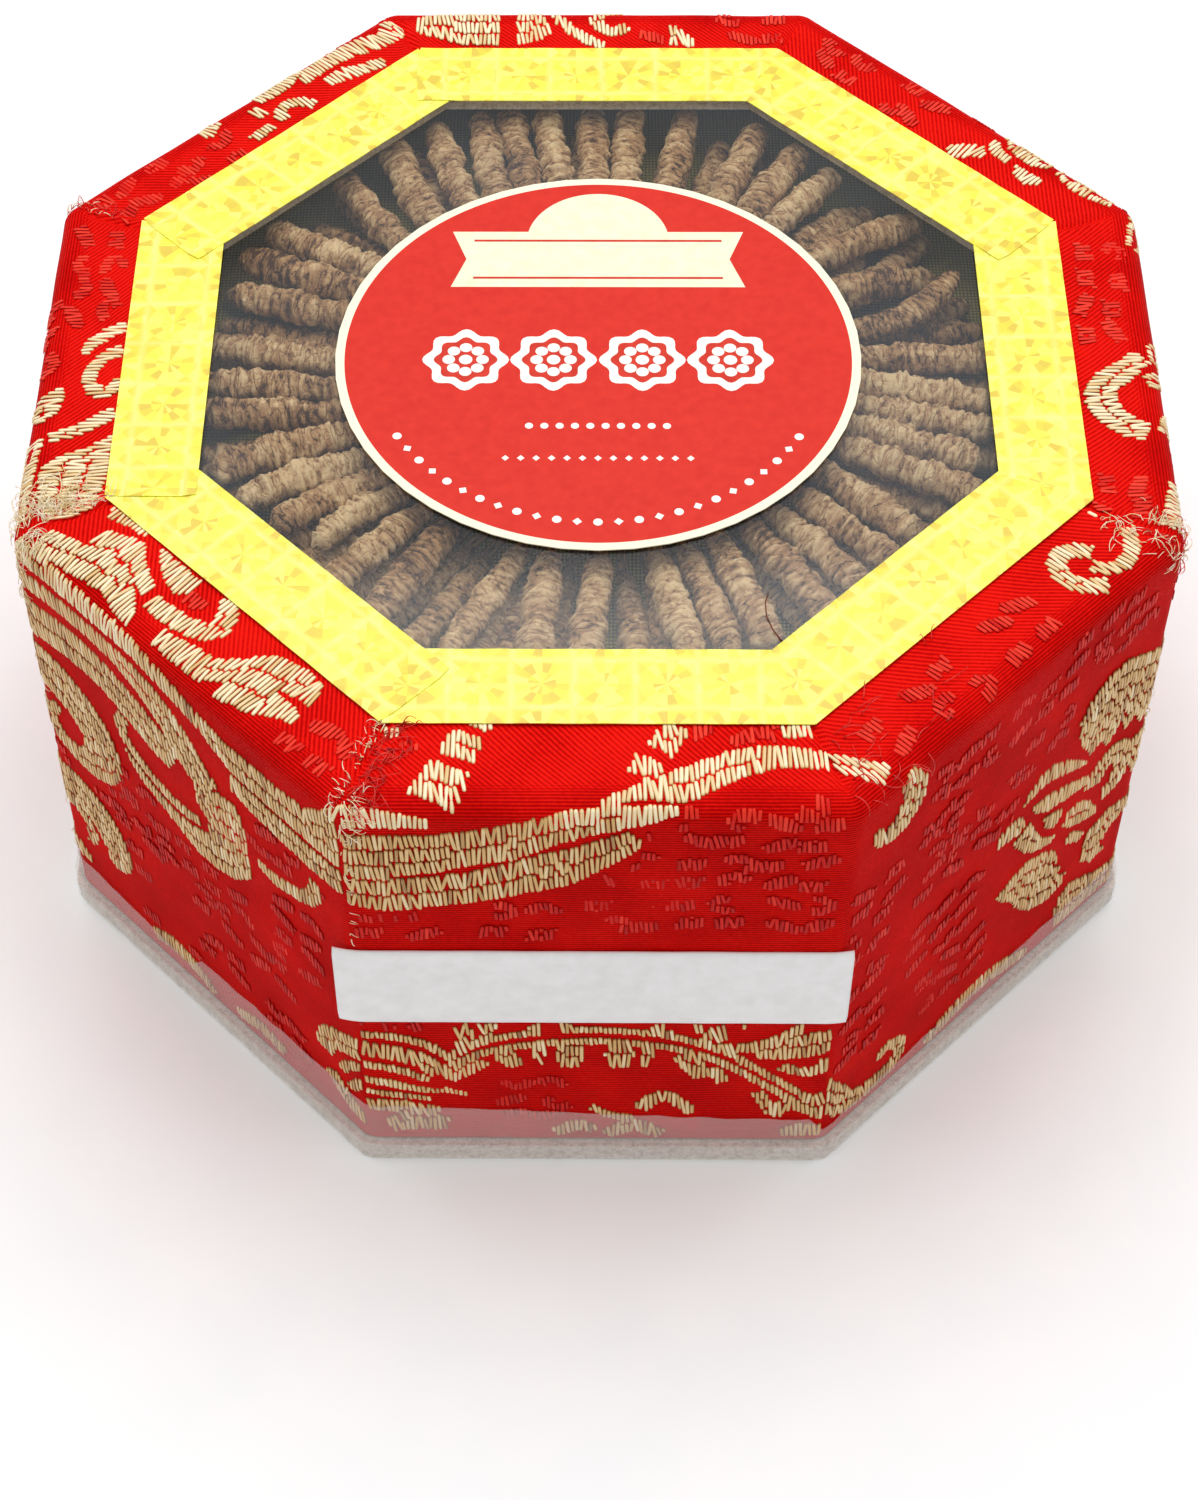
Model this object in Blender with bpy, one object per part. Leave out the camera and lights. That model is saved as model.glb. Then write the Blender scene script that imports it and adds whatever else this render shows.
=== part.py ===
"""Octagonal brocade gift box with a ring of dried cordyceps sealed under its window.

Metres, +Z up. The origin is at the middle of the underside, and the front face looks along -Y.
Everything is fixed: the cover is glued down, and tape closes the window and the base.
"""

from math import cos, pi, radians, sin, tan

import bmesh
import bpy

MM = 0.001

# Driving sizes, in millimetres.
ACROSS_FLATS = 149.2  # over the brocade, flat to flat
CLOTH_TOP = 77.8  # top of the brocade on the rim
CLOTH_THICKNESS = 0.6
BOARD_THICKNESS = 3.0  # greyboard of the walls
BASE_THICKNESS = 3.5
BASE_LEDGE = 1.0  # how far the base board stands out past the brocade
GAP = 0.3  # left between pieces that touch

SIDE_CORNER_RADIUS = 3.5  # upright corners of the box, over the brocade
RIM_ROUNDING = 2.7  # the edge between wall and rim, over the brocade

OPENING = 53.0  # the hole in the top board, middle to flat
PANE = 58.0
PANE_THICKNESS = 0.4
FOIL_INNER, FOIL_OUTER = 51.5, 63.2
FOIL_THICKNESS = 0.15
FRAME_BACK = 1.5  # how far the window, its foil and its label sit towards the back
LABEL_RADIUS = 35.0
LABEL_THICKNESS = 0.15

STRIP_LEFT, STRIP_RIGHT = -33.4, 32.4  # along the wall, from the middle of the front face
STRIP_TOP, STRIP_HEIGHT = 48.9, 15.8

TAPE_TOP = 12.0
TAPE_THICKNESS = 0.15

CUSHION_TOP = 66.0
BED_TOP = 70.1
BED_INNER, BED_OUTER = 22.0, 60.0

HEAD_RADIUS_AT = 31.0  # where each caterpillar ends and its fruiting stalk begins
STALK_END = 18.0
STALK_RADIUS = 0.8

# Each cordyceps: body radius, reach of its tail from the middle, and the compass angle of
# its tail, its middle and its head in degrees from +X, going round by way of +Y.
CORDYCEPS = (
    (2.1, 58.0, 66.0, 65.0, 63.0),
    (2.3, 56.0, 58.0, 58.0, 56.5),
    (2.0, 55.0, 51.0, 52.0, 50.0),
    (2.1, 56.0, 35.0, 38.5, 39.0),
    (2.3, 48.0, 25.0, 28.0, 31.0),
    (1.9, 53.5, 23.0, 16.0, 19.0),
    (2.1, 54.0, 5.0, 7.0, 10.0),
    (2.1, 53.0, -4.0, -1.0, 2.0),
    (1.9, 54.0, -9.0, -7.0, -5.0),
    (2.2, 53.0, -16.0, -14.0, -12.0),
    (2.2, 55.0, -22.0, -21.0, -19.0),
    (2.2, 50.0, -34.0, -31.0, -28.0),
    (2.1, 51.0, -40.0, -39.0, -37.0),
    (2.1, 51.0, -48.0, -46.0, -46.0),
    (2.2, 54.0, -55.0, -54.0, -53.0),
    (2.2, 52.0, -65.0, -63.0, -61.0),
    (1.9, 51.0, -70.5, -69.5, -69.0),
    (2.1, 51.0, -76.0, -76.0, -76.0),
    (2.2, 51.0, -92.0, -91.0, -89.0),
    (2.3, 51.0, -99.0, -100.0, -101.0),
    (2.0, 52.0, -112.0, -110.0, -108.0),
    (2.4, 52.0, -124.0, -125.0, -126.0),
    (2.1, 51.0, -133.0, -134.0, -134.0),
    (1.9, 47.0, -140.5, -143.0, -141.0),
    (2.1, 50.0, -148.0, -149.0, -148.0),
    (2.1, 52.0, -155.0, -156.0, -155.0),
    (2.3, 54.0, -161.5, -163.5, -163.0),
    (2.1, 54.0, -174.0, -172.0, -170.0),
    (2.2, 54.0, -180.0, -179.0, -177.0),
    (2.0, 54.0, 172.0, 173.0, 174.0),
    (2.1, 54.0, 161.0, 160.0, 159.0),
    (2.4, 56.0, 154.0, 153.0, 151.0),
    (2.2, 56.0, 147.0, 146.0, 143.0),
    (2.0, 56.0, 131.0, 134.0, 135.0),
    (2.3, 58.0, 121.0, 125.0, 127.0),
    (2.2, 58.0, 114.0, 117.0, 119.0),
    (2.1, 58.0, 107.0, 110.0, 112.0),
    (2.1, 58.0, 103.0, 104.0, 105.0),
    (2.1, 57.0, 98.0, 98.0, 98.0),
    (2.1, 57.0, 91.0, 91.0, 91.0),
    (2.1, 58.0, 85.0, 85.0, 84.0),
    (2.1, 58.0, 77.0, 76.0, 75.0),
)
# Along a body, from tail (0) to head (1): how much of its radius it has there.
BODY_PROFILE = (
    (0.0, 0.5),
    (0.05, 0.82),
    (0.15, 1.0),
    (0.4, 1.0),
    (0.65, 0.96),
    (0.85, 0.84),
    (0.97, 0.62),
)
TUBE_SIDES = 7
LABEL_SIDES = 48
BED_SIDES = 40
CORNER_STEPS = 4  # faces round an upright corner
EDGE_STEPS = 4  # faces round the rim's edge

WALL_APOTHEM = ACROSS_FLATS / 2  # outside of the brocade
CLOTH_INSIDE = WALL_APOTHEM - CLOTH_THICKNESS
BOARD_APOTHEM = CLOTH_INSIDE - GAP
BASE_APOTHEM = WALL_APOTHEM + BASE_LEDGE
BOARD_TOP = CLOTH_TOP - CLOTH_THICKNESS - GAP
TOP_BOARD_THICKNESS = 1.5


def clear_scene():
    for obj in list(bpy.data.objects):
        bpy.data.objects.remove(obj, do_unlink=True)


def material(name, colour, roughness, metallic=0.0, alpha=1.0):
    made = bpy.data.materials.new(name)
    made.use_nodes = True
    shader = made.node_tree.nodes["Principled BSDF"]
    shader.inputs["Base Color"].default_value = (*colour, 1.0)
    shader.inputs["Roughness"].default_value = roughness
    shader.inputs["Metallic"].default_value = metallic
    shader.inputs["Alpha"].default_value = alpha
    return made


def mesh_object(name, points, faces, finish, smooth_angle=None):
    """One closed solid from points in millimetres."""
    mesh = bpy.data.meshes.new(name)
    mesh.from_pydata([[c * MM for c in point] for point in points], [], faces)
    shape = bmesh.new()
    shape.from_mesh(mesh)
    bmesh.ops.recalc_face_normals(shape, faces=shape.faces)
    shape.to_mesh(mesh)
    shape.free()
    mesh.materials.append(finish)
    if smooth_angle:
        mesh.shade_smooth()
        mesh.set_sharp_from_angle(angle=radians(smooth_angle))
    obj = bpy.data.objects.new(name, mesh)
    bpy.context.scene.collection.objects.link(obj)
    return obj


def octagon(apothem, corner_radius=0.4, back=0.0):
    """Corner-rounded octagon, anticlockwise, its first flat at +X. Returns (x, y) points."""
    points = []
    reach = (apothem - corner_radius) / cos(pi / 8)
    for corner in range(8):
        middle = radians(22.5 + 45 * corner)
        for step in range(CORNER_STEPS + 1):
            turn = middle + radians(45 * step / CORNER_STEPS - 22.5)
            x = reach * cos(middle) + corner_radius * cos(turn)
            y = reach * sin(middle) + corner_radius * sin(turn)
            points.append((x, y + back))
    return points


def loft(name, loops, finish, closed=False, smooth_angle=None):
    """Skins loops of equal length. An open run gets flat caps, a closed one comes back round."""
    count = len(loops[0])
    points = [point for loop in loops for point in loop]
    faces = []
    for i in range(len(loops) if closed else len(loops) - 1):
        low, high = i * count, (i + 1) % len(loops) * count
        for j in range(count):
            k = (j + 1) % count
            faces.append((low + j, low + k, high + k, high + j))
    if not closed:
        faces.append(tuple(reversed(range(count))))
        faces.append(tuple(range((len(loops) - 1) * count, len(points))))
    return mesh_object(name, points, faces, finish, smooth_angle)


def at_height(outline, z):
    return [(x, y, z) for x, y in outline]


def plate(name, outline, bottom, top, finish):
    return loft(name, [at_height(outline, bottom), at_height(outline, top)], finish)


def corner_radius_at(apothem):
    """The upright corners keep the same centre through every layer."""
    return max(0.4, SIDE_CORNER_RADIUS - (WALL_APOTHEM - apothem))


def layer(apothem, z):
    return at_height(octagon(apothem, corner_radius_at(apothem)), z)


def edge_arc(inset):
    """(apothem, height) points from the wall over the rim's edge, `inset` under the cloth."""
    middle = WALL_APOTHEM - RIM_ROUNDING, CLOTH_TOP - RIM_ROUNDING
    radius = RIM_ROUNDING - inset
    turns = [radians(90 * step / EDGE_STEPS) for step in range(EDGE_STEPS + 1)]
    return [(middle[0] + radius * cos(t), middle[1] + radius * sin(t)) for t in turns]


def make_boards():
    board = material("greyboard", (0.42, 0.40, 0.37), 0.9)
    plate("base_board", octagon(BASE_APOTHEM, 2.5), 0.0, BASE_THICKNESS, board)

    foot = BASE_THICKNESS + GAP
    head = BOARD_TOP - TOP_BOARD_THICKNESS - GAP
    inside = BOARD_APOTHEM - BOARD_THICKNESS
    wall = [(BOARD_APOTHEM, foot), (BOARD_APOTHEM, head), (inside, head), (inside, foot)]
    loft("wall_board", [layer(*spot) for spot in wall], board, closed=True)

    under = BOARD_TOP - TOP_BOARD_THICKNESS
    loops = [layer(BOARD_APOTHEM, under)]
    loops += [layer(*spot) for spot in edge_arc(CLOTH_THICKNESS + GAP)]
    hole = octagon(OPENING, back=FRAME_BACK)
    loops += [at_height(hole, BOARD_TOP), at_height(hole, under)]
    loft("top_board", loops, board, closed=True)


def make_brocade():
    silk = material("red_brocade", (0.62, 0.012, 0.012), 0.55)
    foot = BASE_THICKNESS + GAP + 0.1
    hem = PANE + GAP
    loops = [layer(WALL_APOTHEM, foot)]
    loops += [layer(*spot) for spot in edge_arc(0.0)]
    window = octagon(hem, back=FRAME_BACK)
    loops += [at_height(window, CLOTH_TOP), at_height(window, CLOTH_TOP - CLOTH_THICKNESS)]
    loops += [layer(*spot) for spot in reversed(edge_arc(CLOTH_THICKNESS))]
    loops.append(layer(CLOTH_INSIDE, foot))
    loft("brocade_cover", loops, silk, closed=True, smooth_angle=30)


def make_window():
    clear = material("clear_film", (0.9, 0.92, 0.95), 0.08, alpha=0.3)
    bottom = BOARD_TOP + GAP
    outline = octagon(PANE, back=FRAME_BACK)
    plate("window_pane", outline, bottom, bottom + PANE_THICKNESS, clear)

    paper = material("label_paper", (0.75, 0.04, 0.03), 0.35)
    bottom += PANE_THICKNESS + GAP
    turns = [2 * pi * i / LABEL_SIDES for i in range(LABEL_SIDES)]
    disc = [(LABEL_RADIUS * cos(t), FRAME_BACK + LABEL_RADIUS * sin(t)) for t in turns]
    plate("round_label", disc, bottom, bottom + LABEL_THICKNESS, paper)


def make_foil():
    """Eight strips frame the window, mitred where they meet."""
    foil = material("gold_foil_tape", (0.95, 0.88, 0.12), 0.3, metallic=0.6)
    bottom = CLOTH_TOP + GAP
    for number in range(1, 9):
        middle = radians(45 * number + 45)
        outline = []
        for apothem, side in ((FOIL_INNER, 1), (FOIL_INNER, -1), (FOIL_OUTER, -1), (FOIL_OUTER, 1)):
            half = apothem * tan(pi / 8) - GAP / 2
            x = apothem * cos(middle) - side * half * sin(middle)
            y = apothem * sin(middle) + side * half * cos(middle)
            outline.append((x, y + FRAME_BACK))
        plate(f"foil_strip_{number}", outline, bottom, bottom + FOIL_THICKNESS, foil)


def wall_spot(along, apothem):
    """(x, y) on the wall, `along` mm from the middle of the front face, past a corner or not."""
    radius = corner_radius_at(apothem)
    flat = (apothem - radius) * tan(pi / 8)
    side = 1 if along > 0 else -1
    rest = abs(along) - flat
    if rest <= 0:
        return along, -apothem
    turn = min(rest / radius, pi / 4)
    rest -= turn * radius
    x = flat + radius * sin(turn) + rest * cos(pi / 4)
    y = -(apothem - radius) - radius * cos(turn) + rest * sin(pi / 4)
    return side * x, y


def make_strip_label():
    paper = material("strip_paper", (0.62, 0.60, 0.60), 0.6)
    inner = WALL_APOTHEM + GAP
    radius = corner_radius_at(inner)
    flat = (inner - radius) * tan(pi / 8)
    bend = radius * pi / 4
    turns = [flat + bend * step / CORNER_STEPS for step in range(CORNER_STEPS + 1)]
    stops = [STRIP_LEFT] + [-stop for stop in reversed(turns)]
    stops += [stop for stop in turns if stop < STRIP_RIGHT] + [STRIP_RIGHT]
    sections = []
    low, high = STRIP_TOP - STRIP_HEIGHT, STRIP_TOP
    for stop in stops:
        x0, y0 = wall_spot(stop, inner)
        x1, y1 = wall_spot(stop, inner + LABEL_THICKNESS)
        sections.append([(x0, y0, low), (x1, y1, low), (x1, y1, high), (x0, y0, high)])
    loft("strip_label", sections, paper)


def make_seal_tape():
    """A band up the wall's foot that laps over the base board's edge."""
    clear = material("clear_tape", (0.92, 0.86, 0.86), 0.2, alpha=0.4)
    wall = WALL_APOTHEM + GAP
    edge = BASE_APOTHEM + GAP
    ledge = BASE_THICKNESS + GAP
    skin = TAPE_THICKNESS
    hem = 0.5
    profile = [(wall, TAPE_TOP), (wall, ledge), (edge, ledge), (edge, hem)]
    profile += [(edge + skin, hem), (edge + skin, ledge + skin)]
    profile += [(wall + skin, ledge + skin), (wall + skin, TAPE_TOP)]
    loft("seal_tape", [layer(*spot) for spot in profile], clear, closed=True)


def make_filling():
    silk = material("gold_silk", (0.35, 0.26, 0.05), 0.7)
    outline = octagon(BOARD_APOTHEM - BOARD_THICKNESS - GAP)
    plate("cushion", outline, BASE_THICKNESS + GAP, CUSHION_TOP, silk)

    lower = material("lower_layers", (0.16, 0.11, 0.07), 0.8)
    bottom = CUSHION_TOP + GAP
    turns = [2 * pi * i / BED_SIDES for i in range(BED_SIDES)]
    loops = []
    corners = ((BED_OUTER, bottom), (BED_OUTER, BED_TOP), (BED_INNER, BED_TOP), (BED_INNER, bottom))
    for radius, z in corners:
        loops.append([(radius * cos(t), FRAME_BACK + radius * sin(t), z) for t in turns])
    loft("cordyceps_bed", loops, lower, closed=True)


def body_place(row, part):
    """(distance from the middle, angle) at `part` of the way from tail to head."""
    _, reach, tail, middle, head = row
    angle = tail * (1 - part) * (1 - 2 * part)
    angle += 4 * middle * part * (1 - part) + head * part * (2 * part - 1)
    return reach + (HEAD_RADIUS_AT - reach) * part, radians(angle)


def tube(name, path, finish):
    """A capped tube through (x, y, z, radius) stops that lie level."""
    sections = []
    for i, (x, y, z, radius) in enumerate(path):
        before, after = path[max(i - 1, 0)], path[min(i + 1, len(path) - 1)]
        dx, dy = after[0] - before[0], after[1] - before[1]
        length = (dx * dx + dy * dy) ** 0.5
        side_x, side_y = -dy / length, dx / length
        ring = []
        for j in range(TUBE_SIDES):
            turn = 2 * pi * j / TUBE_SIDES
            across = radius * cos(turn)
            ring.append((x + across * side_x, y + across * side_y, z + radius * sin(turn)))
        sections.append(ring)
    return loft(name, sections, finish, smooth_angle=60)


def make_cordyceps():
    """A tail-out caterpillar, then its thin stalk running in under the label."""
    husk = material("dried_husk", (0.24, 0.17, 0.11), 0.75)
    for number, row in enumerate(CORDYCEPS, start=1):
        radius = row[0]
        lift = 0.0
        if row[2] == 23.0:
            lift = 1.6  # its hooked tail lies over its neighbour's
        z = BED_TOP + GAP + radius
        path = []
        for part, share in BODY_PROFILE:
            reach, angle = body_place(row, part)
            x, y = reach * cos(angle), FRAME_BACK + reach * sin(angle)
            path.append((x, y, z + lift * (1 - part), radius * share))
        angle = radians(row[4])
        for step in (0.0, 0.5, 1.0):
            reach = HEAD_RADIUS_AT - 0.5 + (STALK_END - HEAD_RADIUS_AT) * step
            x, y = reach * cos(angle), FRAME_BACK + reach * sin(angle)
            path.append((x, y, z, STALK_RADIUS * (1 - 0.4 * step)))
        tube(f"cordyceps_{number:02d}", path, husk)


clear_scene()
make_boards()
make_brocade()
make_window()
make_foil()
make_strip_label()
make_seal_tape()
make_filling()
make_cordyceps()
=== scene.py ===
"""Octagonal brocade gift box with dried cordyceps sealed under its window, built round its frame."""

from math import cos, pi, radians, sin, tan

import bmesh
import bpy
import numpy as np
from mathutils import Matrix, Vector


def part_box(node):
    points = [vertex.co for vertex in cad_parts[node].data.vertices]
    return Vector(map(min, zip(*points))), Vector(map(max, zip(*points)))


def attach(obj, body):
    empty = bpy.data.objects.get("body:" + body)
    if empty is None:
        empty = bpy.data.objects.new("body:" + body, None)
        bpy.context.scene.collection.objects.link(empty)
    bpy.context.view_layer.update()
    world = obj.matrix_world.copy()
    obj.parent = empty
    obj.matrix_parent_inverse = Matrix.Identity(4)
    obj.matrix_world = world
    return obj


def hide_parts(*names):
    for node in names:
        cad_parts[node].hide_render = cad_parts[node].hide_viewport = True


bl_info = {
    "name": "Brocade Gift Box with Dried Cordyceps",
    "version": (1, 0, 0),
    "blender": (4, 5, 0),
    "location": "3D View > Sidebar > Gift Box",
    "description": "Makes the woven cover, window, labels, tapes and filling of an octagonal gift box",
    "category": "Object",
}

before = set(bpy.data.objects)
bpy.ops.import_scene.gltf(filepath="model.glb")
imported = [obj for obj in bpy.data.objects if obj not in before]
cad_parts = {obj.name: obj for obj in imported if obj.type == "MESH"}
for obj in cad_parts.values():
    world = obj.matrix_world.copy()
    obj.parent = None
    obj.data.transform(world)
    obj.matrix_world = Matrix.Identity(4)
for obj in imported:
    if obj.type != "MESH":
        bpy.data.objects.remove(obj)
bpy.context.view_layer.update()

MM = 0.001


def node_size(name):
    """Lowest and highest corners of a frame node, in millimetres."""
    low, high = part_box(name)
    return np.array(low) / MM, np.array(high) / MM


COVER_LOW, COVER_HIGH = node_size("brocade_cover")
PANE_LOW, PANE_HIGH = node_size("window_pane")
STRIP_LOW, STRIP_HIGH = node_size("strip_label")
BASE_HIGH = node_size("base_board")[1]
CUSHION_LOW, CUSHION_HIGH = node_size("cushion")
LABEL_TOP = node_size("round_label")[1][2]
BED_FOOT = node_size("cordyceps_bed")[0][2]
FOIL_FOOT = node_size("foil_strip_1")[0][2]

WALL = (COVER_HIGH[0] - COVER_LOW[0]) / 2  # middle of the box to the cloth on a wall
FOOT, CLOTH_TOP = COVER_LOW[2], COVER_HIGH[2]
BACK = (PANE_HIGH[1] + PANE_LOW[1]) / 2  # the window sits this far towards the back
PANE = (PANE_HIGH[1] - PANE_LOW[1]) / 2
HEM = PANE + 0.3  # the cloth ends just outside the pane
ROUNDING = 2.7  # radius of the edge between wall and rim
UPRIGHT = 3.5  # and of the upright corners
STRIP_ENDS = (-33.4, 32.4)  # along the front, past both its corners
EDGE = CLOTH_TOP - ROUNDING  # where the wall begins to turn over
RIM_START = EDGE + ROUNDING * pi / 2
UNROLLED = RIM_START + WALL - ROUNDING  # on the rim, distance up the cloth plus apothem
SHIFT_FROM = 66.0  # inside this apothem the rim leans back with the window
FOIL_INNER, FOIL_WIDTH = 51.5, 11.7  # from the window's middle to the foil's inner edge, and its width
FOIL_HOLDS = 88.2  # up the cloth, where the foil begins to hold it flat
FRAYS_STOP = 89.3  # and where the last loose ends stop
HALF_FACE = 34.0  # figures are drawn this far to each side of a face's middle
HEAD_AT = 31.4  # distance from the window's middle where the bodies end
RED_REACH = 33.75  # the round label's red ground, inside its cream ring
MID_WALL = 30.0  # a height where the wall is upright
FLOOR_REACH = 6000

# The camera's place in millimetres, its turn in degrees, and its lens shift.
CAMERA_AT = (-1.65, -293.3, 366.0)
CAMERA_PITCH, CAMERA_YAW, CAMERA_ROLL = 51.70, -1.15, -0.71
CAMERA_SHIFT = (0.0353, 0.0013)

# Angle of each face's outward direction, in degrees anticlockwise from +x, going round from the front.
FACES = {
    "front": 270,
    "front_right": 315,
    "right": 0,
    "back_right": 45,
    "back": 90,
    "back_left": 135,
    "left": 180,
    "front_left": 225,
}


def linear(hex_colour):
    """An sRGB hex colour as linear RGBA."""
    channels = [int(hex_colour[i : i + 2], 16) / 255 for i in (1, 3, 5)]
    return tuple(c / 12.92 if c <= 0.04045 else ((c + 0.055) / 1.055) ** 2.4 for c in channels) + (1.0,)


def add(tree, kind, inputs=None, stops=None, **settings):
    """Adds a node: an input given a socket is linked, any other value is set. Stops fill a ramp."""
    made = tree.nodes.new(kind)
    for name, value in settings.items():
        setattr(made, name, value)
    for name, value in (inputs or {}).items():
        if isinstance(value, bpy.types.NodeSocket):
            tree.links.new(value, made.inputs[name])
        else:
            made.inputs[name].default_value = value
    if stops:
        elements = made.color_ramp.elements
        while len(elements) < len(stops):
            elements.new(1.0)
        for element, (place, colour) in zip(elements, stops):
            element.position = place
            element.color = linear(colour) if isinstance(colour, str) else (*colour, 1.0)
    return made


def finish_named(name, **values):
    """A material with plain values on its shader. Returns it, its tree and its shader."""
    made = bpy.data.materials.new(name)
    made.use_nodes = True
    shader = made.node_tree.nodes["Principled BSDF"]
    for key, value in values.items():
        socket = shader.inputs[key.replace("_", " ")]
        socket.default_value = linear(value) if isinstance(value, str) else value
    return made, made.node_tree, shader


def put(tree, shader, **sources):
    """Links outputs to the shader's inputs."""
    for key, source in sources.items():
        tree.links.new(source, shader.inputs[key.replace("_", " ")])


# ---------------------------------------------------------------- finishes


def red_satin_ground():
    """Rayon satin, woven: deep red with a soft sheen and fine weft ribs."""
    made, tree, shader = finish_named(
        "red_satin_brocade", Roughness=0.6, Specular_IOR_Level=0.02)
    flat = add(tree, "ShaderNodeUVMap", uv_map="cloth").outputs[0]
    rim = add(tree, "ShaderNodeAttribute", attribute_name="rim").outputs["Fac"]
    # Ribs every 0.45 mm and twill every 0.6 mm, about twice the real spacing, so that they show.
    ribs = add(tree, "ShaderNodeTexWave", {"Vector": flat, "Scale": 0.7, "Distortion": 0.5,
               "Detail": 1.0, "Detail Scale": 0.6}, wave_type="BANDS", bands_direction="Y")
    twill = add(tree, "ShaderNodeTexWave", {"Vector": flat, "Scale": 0.78, "Distortion": 0.6,
                "Detail": 1.0}, wave_type="BANDS", bands_direction="DIAGONAL")
    lines = add(tree, "ShaderNodeMix", {"Factor": rim, "A": ribs.outputs["Fac"],
                "B": twill.outputs["Fac"]}, data_type="FLOAT").outputs[0]
    cloud = add(tree, "ShaderNodeTexNoise", {"Vector": flat, "Scale": 0.09, "Detail": 3.0})
    slub = add(tree, "ShaderNodeTexNoise", {"Vector": flat, "Scale": 1.6, "Detail": 2.0})
    shade = add(tree, "ShaderNodeMath", {0: lines, 1: 0.45}, operation="MULTIPLY").outputs[0]
    shade = add(tree, "ShaderNodeMath", {0: cloud.outputs["Fac"], 1: 0.55, 2: shade},
                operation="MULTIPLY_ADD").outputs[0]
    shade = add(tree, "ShaderNodeMath", {0: slub.outputs["Fac"], 1: 0.35, 2: shade},
                operation="MULTIPLY_ADD").outputs[0]
    # Painted highlight: the rim is painted brighter than the walls, where the overhead light falls on it.
    shade = add(tree, "ShaderNodeMath", {0: rim, 1: 0.17, 2: shade}, operation="MULTIPLY_ADD").outputs[0]
    colour = add(tree, "ShaderNodeValToRGB", {"Fac": shade},
                 stops=[(0.25, "#8C0101"), (0.62, "#BE0403"), (0.8, "#D60B06"), (1.0, "#EE1A10")])
    bump = add(tree, "ShaderNodeBump", {"Height": lines, "Strength": 0.6, "Distance": 0.08 * MM})
    put(tree, shader, Base_Color=colour.outputs[0], Normal=bump.outputs[0])
    return made


def thread_finish(name, dark, mid, light, **values):
    """Floss laid in floats: fine filaments along each, painted shade where it dives under and down its sides.
    """
    made, tree, shader = finish_named(name, **values)
    uv = add(tree, "ShaderNodeUVMap", uv_map="thread").outputs[0]
    tone = add(tree, "ShaderNodeAttribute", attribute_name="tone").outputs["Fac"]
    split = add(tree, "ShaderNodeSeparateXYZ", {0: uv})
    # Three filament lines across each float stand for its dozens of finer ones.
    lines = add(tree, "ShaderNodeMath", {0: split.outputs[0], 1: 19.0}, operation="MULTIPLY").outputs[0]
    lines = add(tree, "ShaderNodeMath", {0: lines}, operation="SINE").outputs[0]
    # Painted shade: each float is darker towards both its ends and towards both its sides.
    end = add(tree, "ShaderNodeMath", {0: split.outputs[1], 1: 0.5}, operation="SUBTRACT").outputs[0]
    end = add(tree, "ShaderNodeMath", {0: end}, operation="ABSOLUTE").outputs[0]
    end = add(tree, "ShaderNodeMapRange", {"Value": end, "From Min": 0.4, "From Max": 0.5,
              "To Min": 0.0, "To Max": 0.4}).outputs[0]
    side = add(tree, "ShaderNodeMath", {0: split.outputs[0], 1: 0.5}, operation="SUBTRACT").outputs[0]
    side = add(tree, "ShaderNodeMath", {0: side}, operation="ABSOLUTE").outputs[0]
    side = add(tree, "ShaderNodeMapRange", {"Value": side, "From Min": 0.3, "From Max": 0.5,
               "To Min": 0.0, "To Max": 0.5}).outputs[0]
    shade = add(tree, "ShaderNodeMath", {0: lines, 1: 0.06, 2: tone}, operation="MULTIPLY_ADD").outputs[0]
    shade = add(tree, "ShaderNodeMath", {0: shade, 1: end}, operation="SUBTRACT").outputs[0]
    shade = add(tree, "ShaderNodeMath", {0: shade, 1: side}, operation="SUBTRACT").outputs[0]
    colour = add(tree, "ShaderNodeValToRGB", {"Fac": shade}, stops=[(0.0, dark), (0.4, mid), (0.8, light)])
    bump = add(tree, "ShaderNodeBump", {"Height": lines, "Strength": 0.35, "Distance": 0.04 * MM})
    put(tree, shader, Base_Color=colour.outputs[0], Normal=bump.outputs[0])
    return made


def gold_floss(colour):
    """Gold rayon floss: pale and shiny, with painted shade in brown at the ends and sides of its floats."""
    return thread_finish("gold_floss", "#8A5224", colour, "#FFF2CC",
                         Roughness=0.42, Specular_IOR_Level=0.5)


def red_floss():
    """Red rayon floss: tone on tone, seen by its shine."""
    return thread_finish("red_floss", "#A80402", "#DA1A12", "#F4402E",
                         Roughness=0.5, Specular_IOR_Level=0.12)


def grey_pulp_board():
    """Greyboard, pressed from waste pulp: matt, with short fibres and specks."""
    made, tree, shader = finish_named("grey_pulp_board", Roughness=0.9)
    place = add(tree, "ShaderNodeTexCoord").outputs["Object"]
    pulp = add(tree, "ShaderNodeTexNoise", {"Vector": place, "Scale": 900.0, "Detail": 5.0})
    speck = add(tree, "ShaderNodeTexNoise", {"Vector": place, "Scale": 2600.0, "Detail": 2.0})
    mix = add(tree, "ShaderNodeMath", {0: pulp.outputs["Fac"], 1: speck.outputs["Fac"]}, operation="MULTIPLY")
    colour = add(tree, "ShaderNodeValToRGB", {"Fac": mix.outputs[0]},
                 stops=[(0.1, "#B5AEA4"), (0.28, "#E2DED6"), (0.5, "#F3F0EA")])
    bump = add(tree, "ShaderNodeBump", {"Height": pulp.outputs["Fac"], "Strength": 0.5, "Distance": 0.1 * MM})
    put(tree, shader, Base_Color=colour.outputs[0], Normal=bump.outputs[0])
    return made


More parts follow.
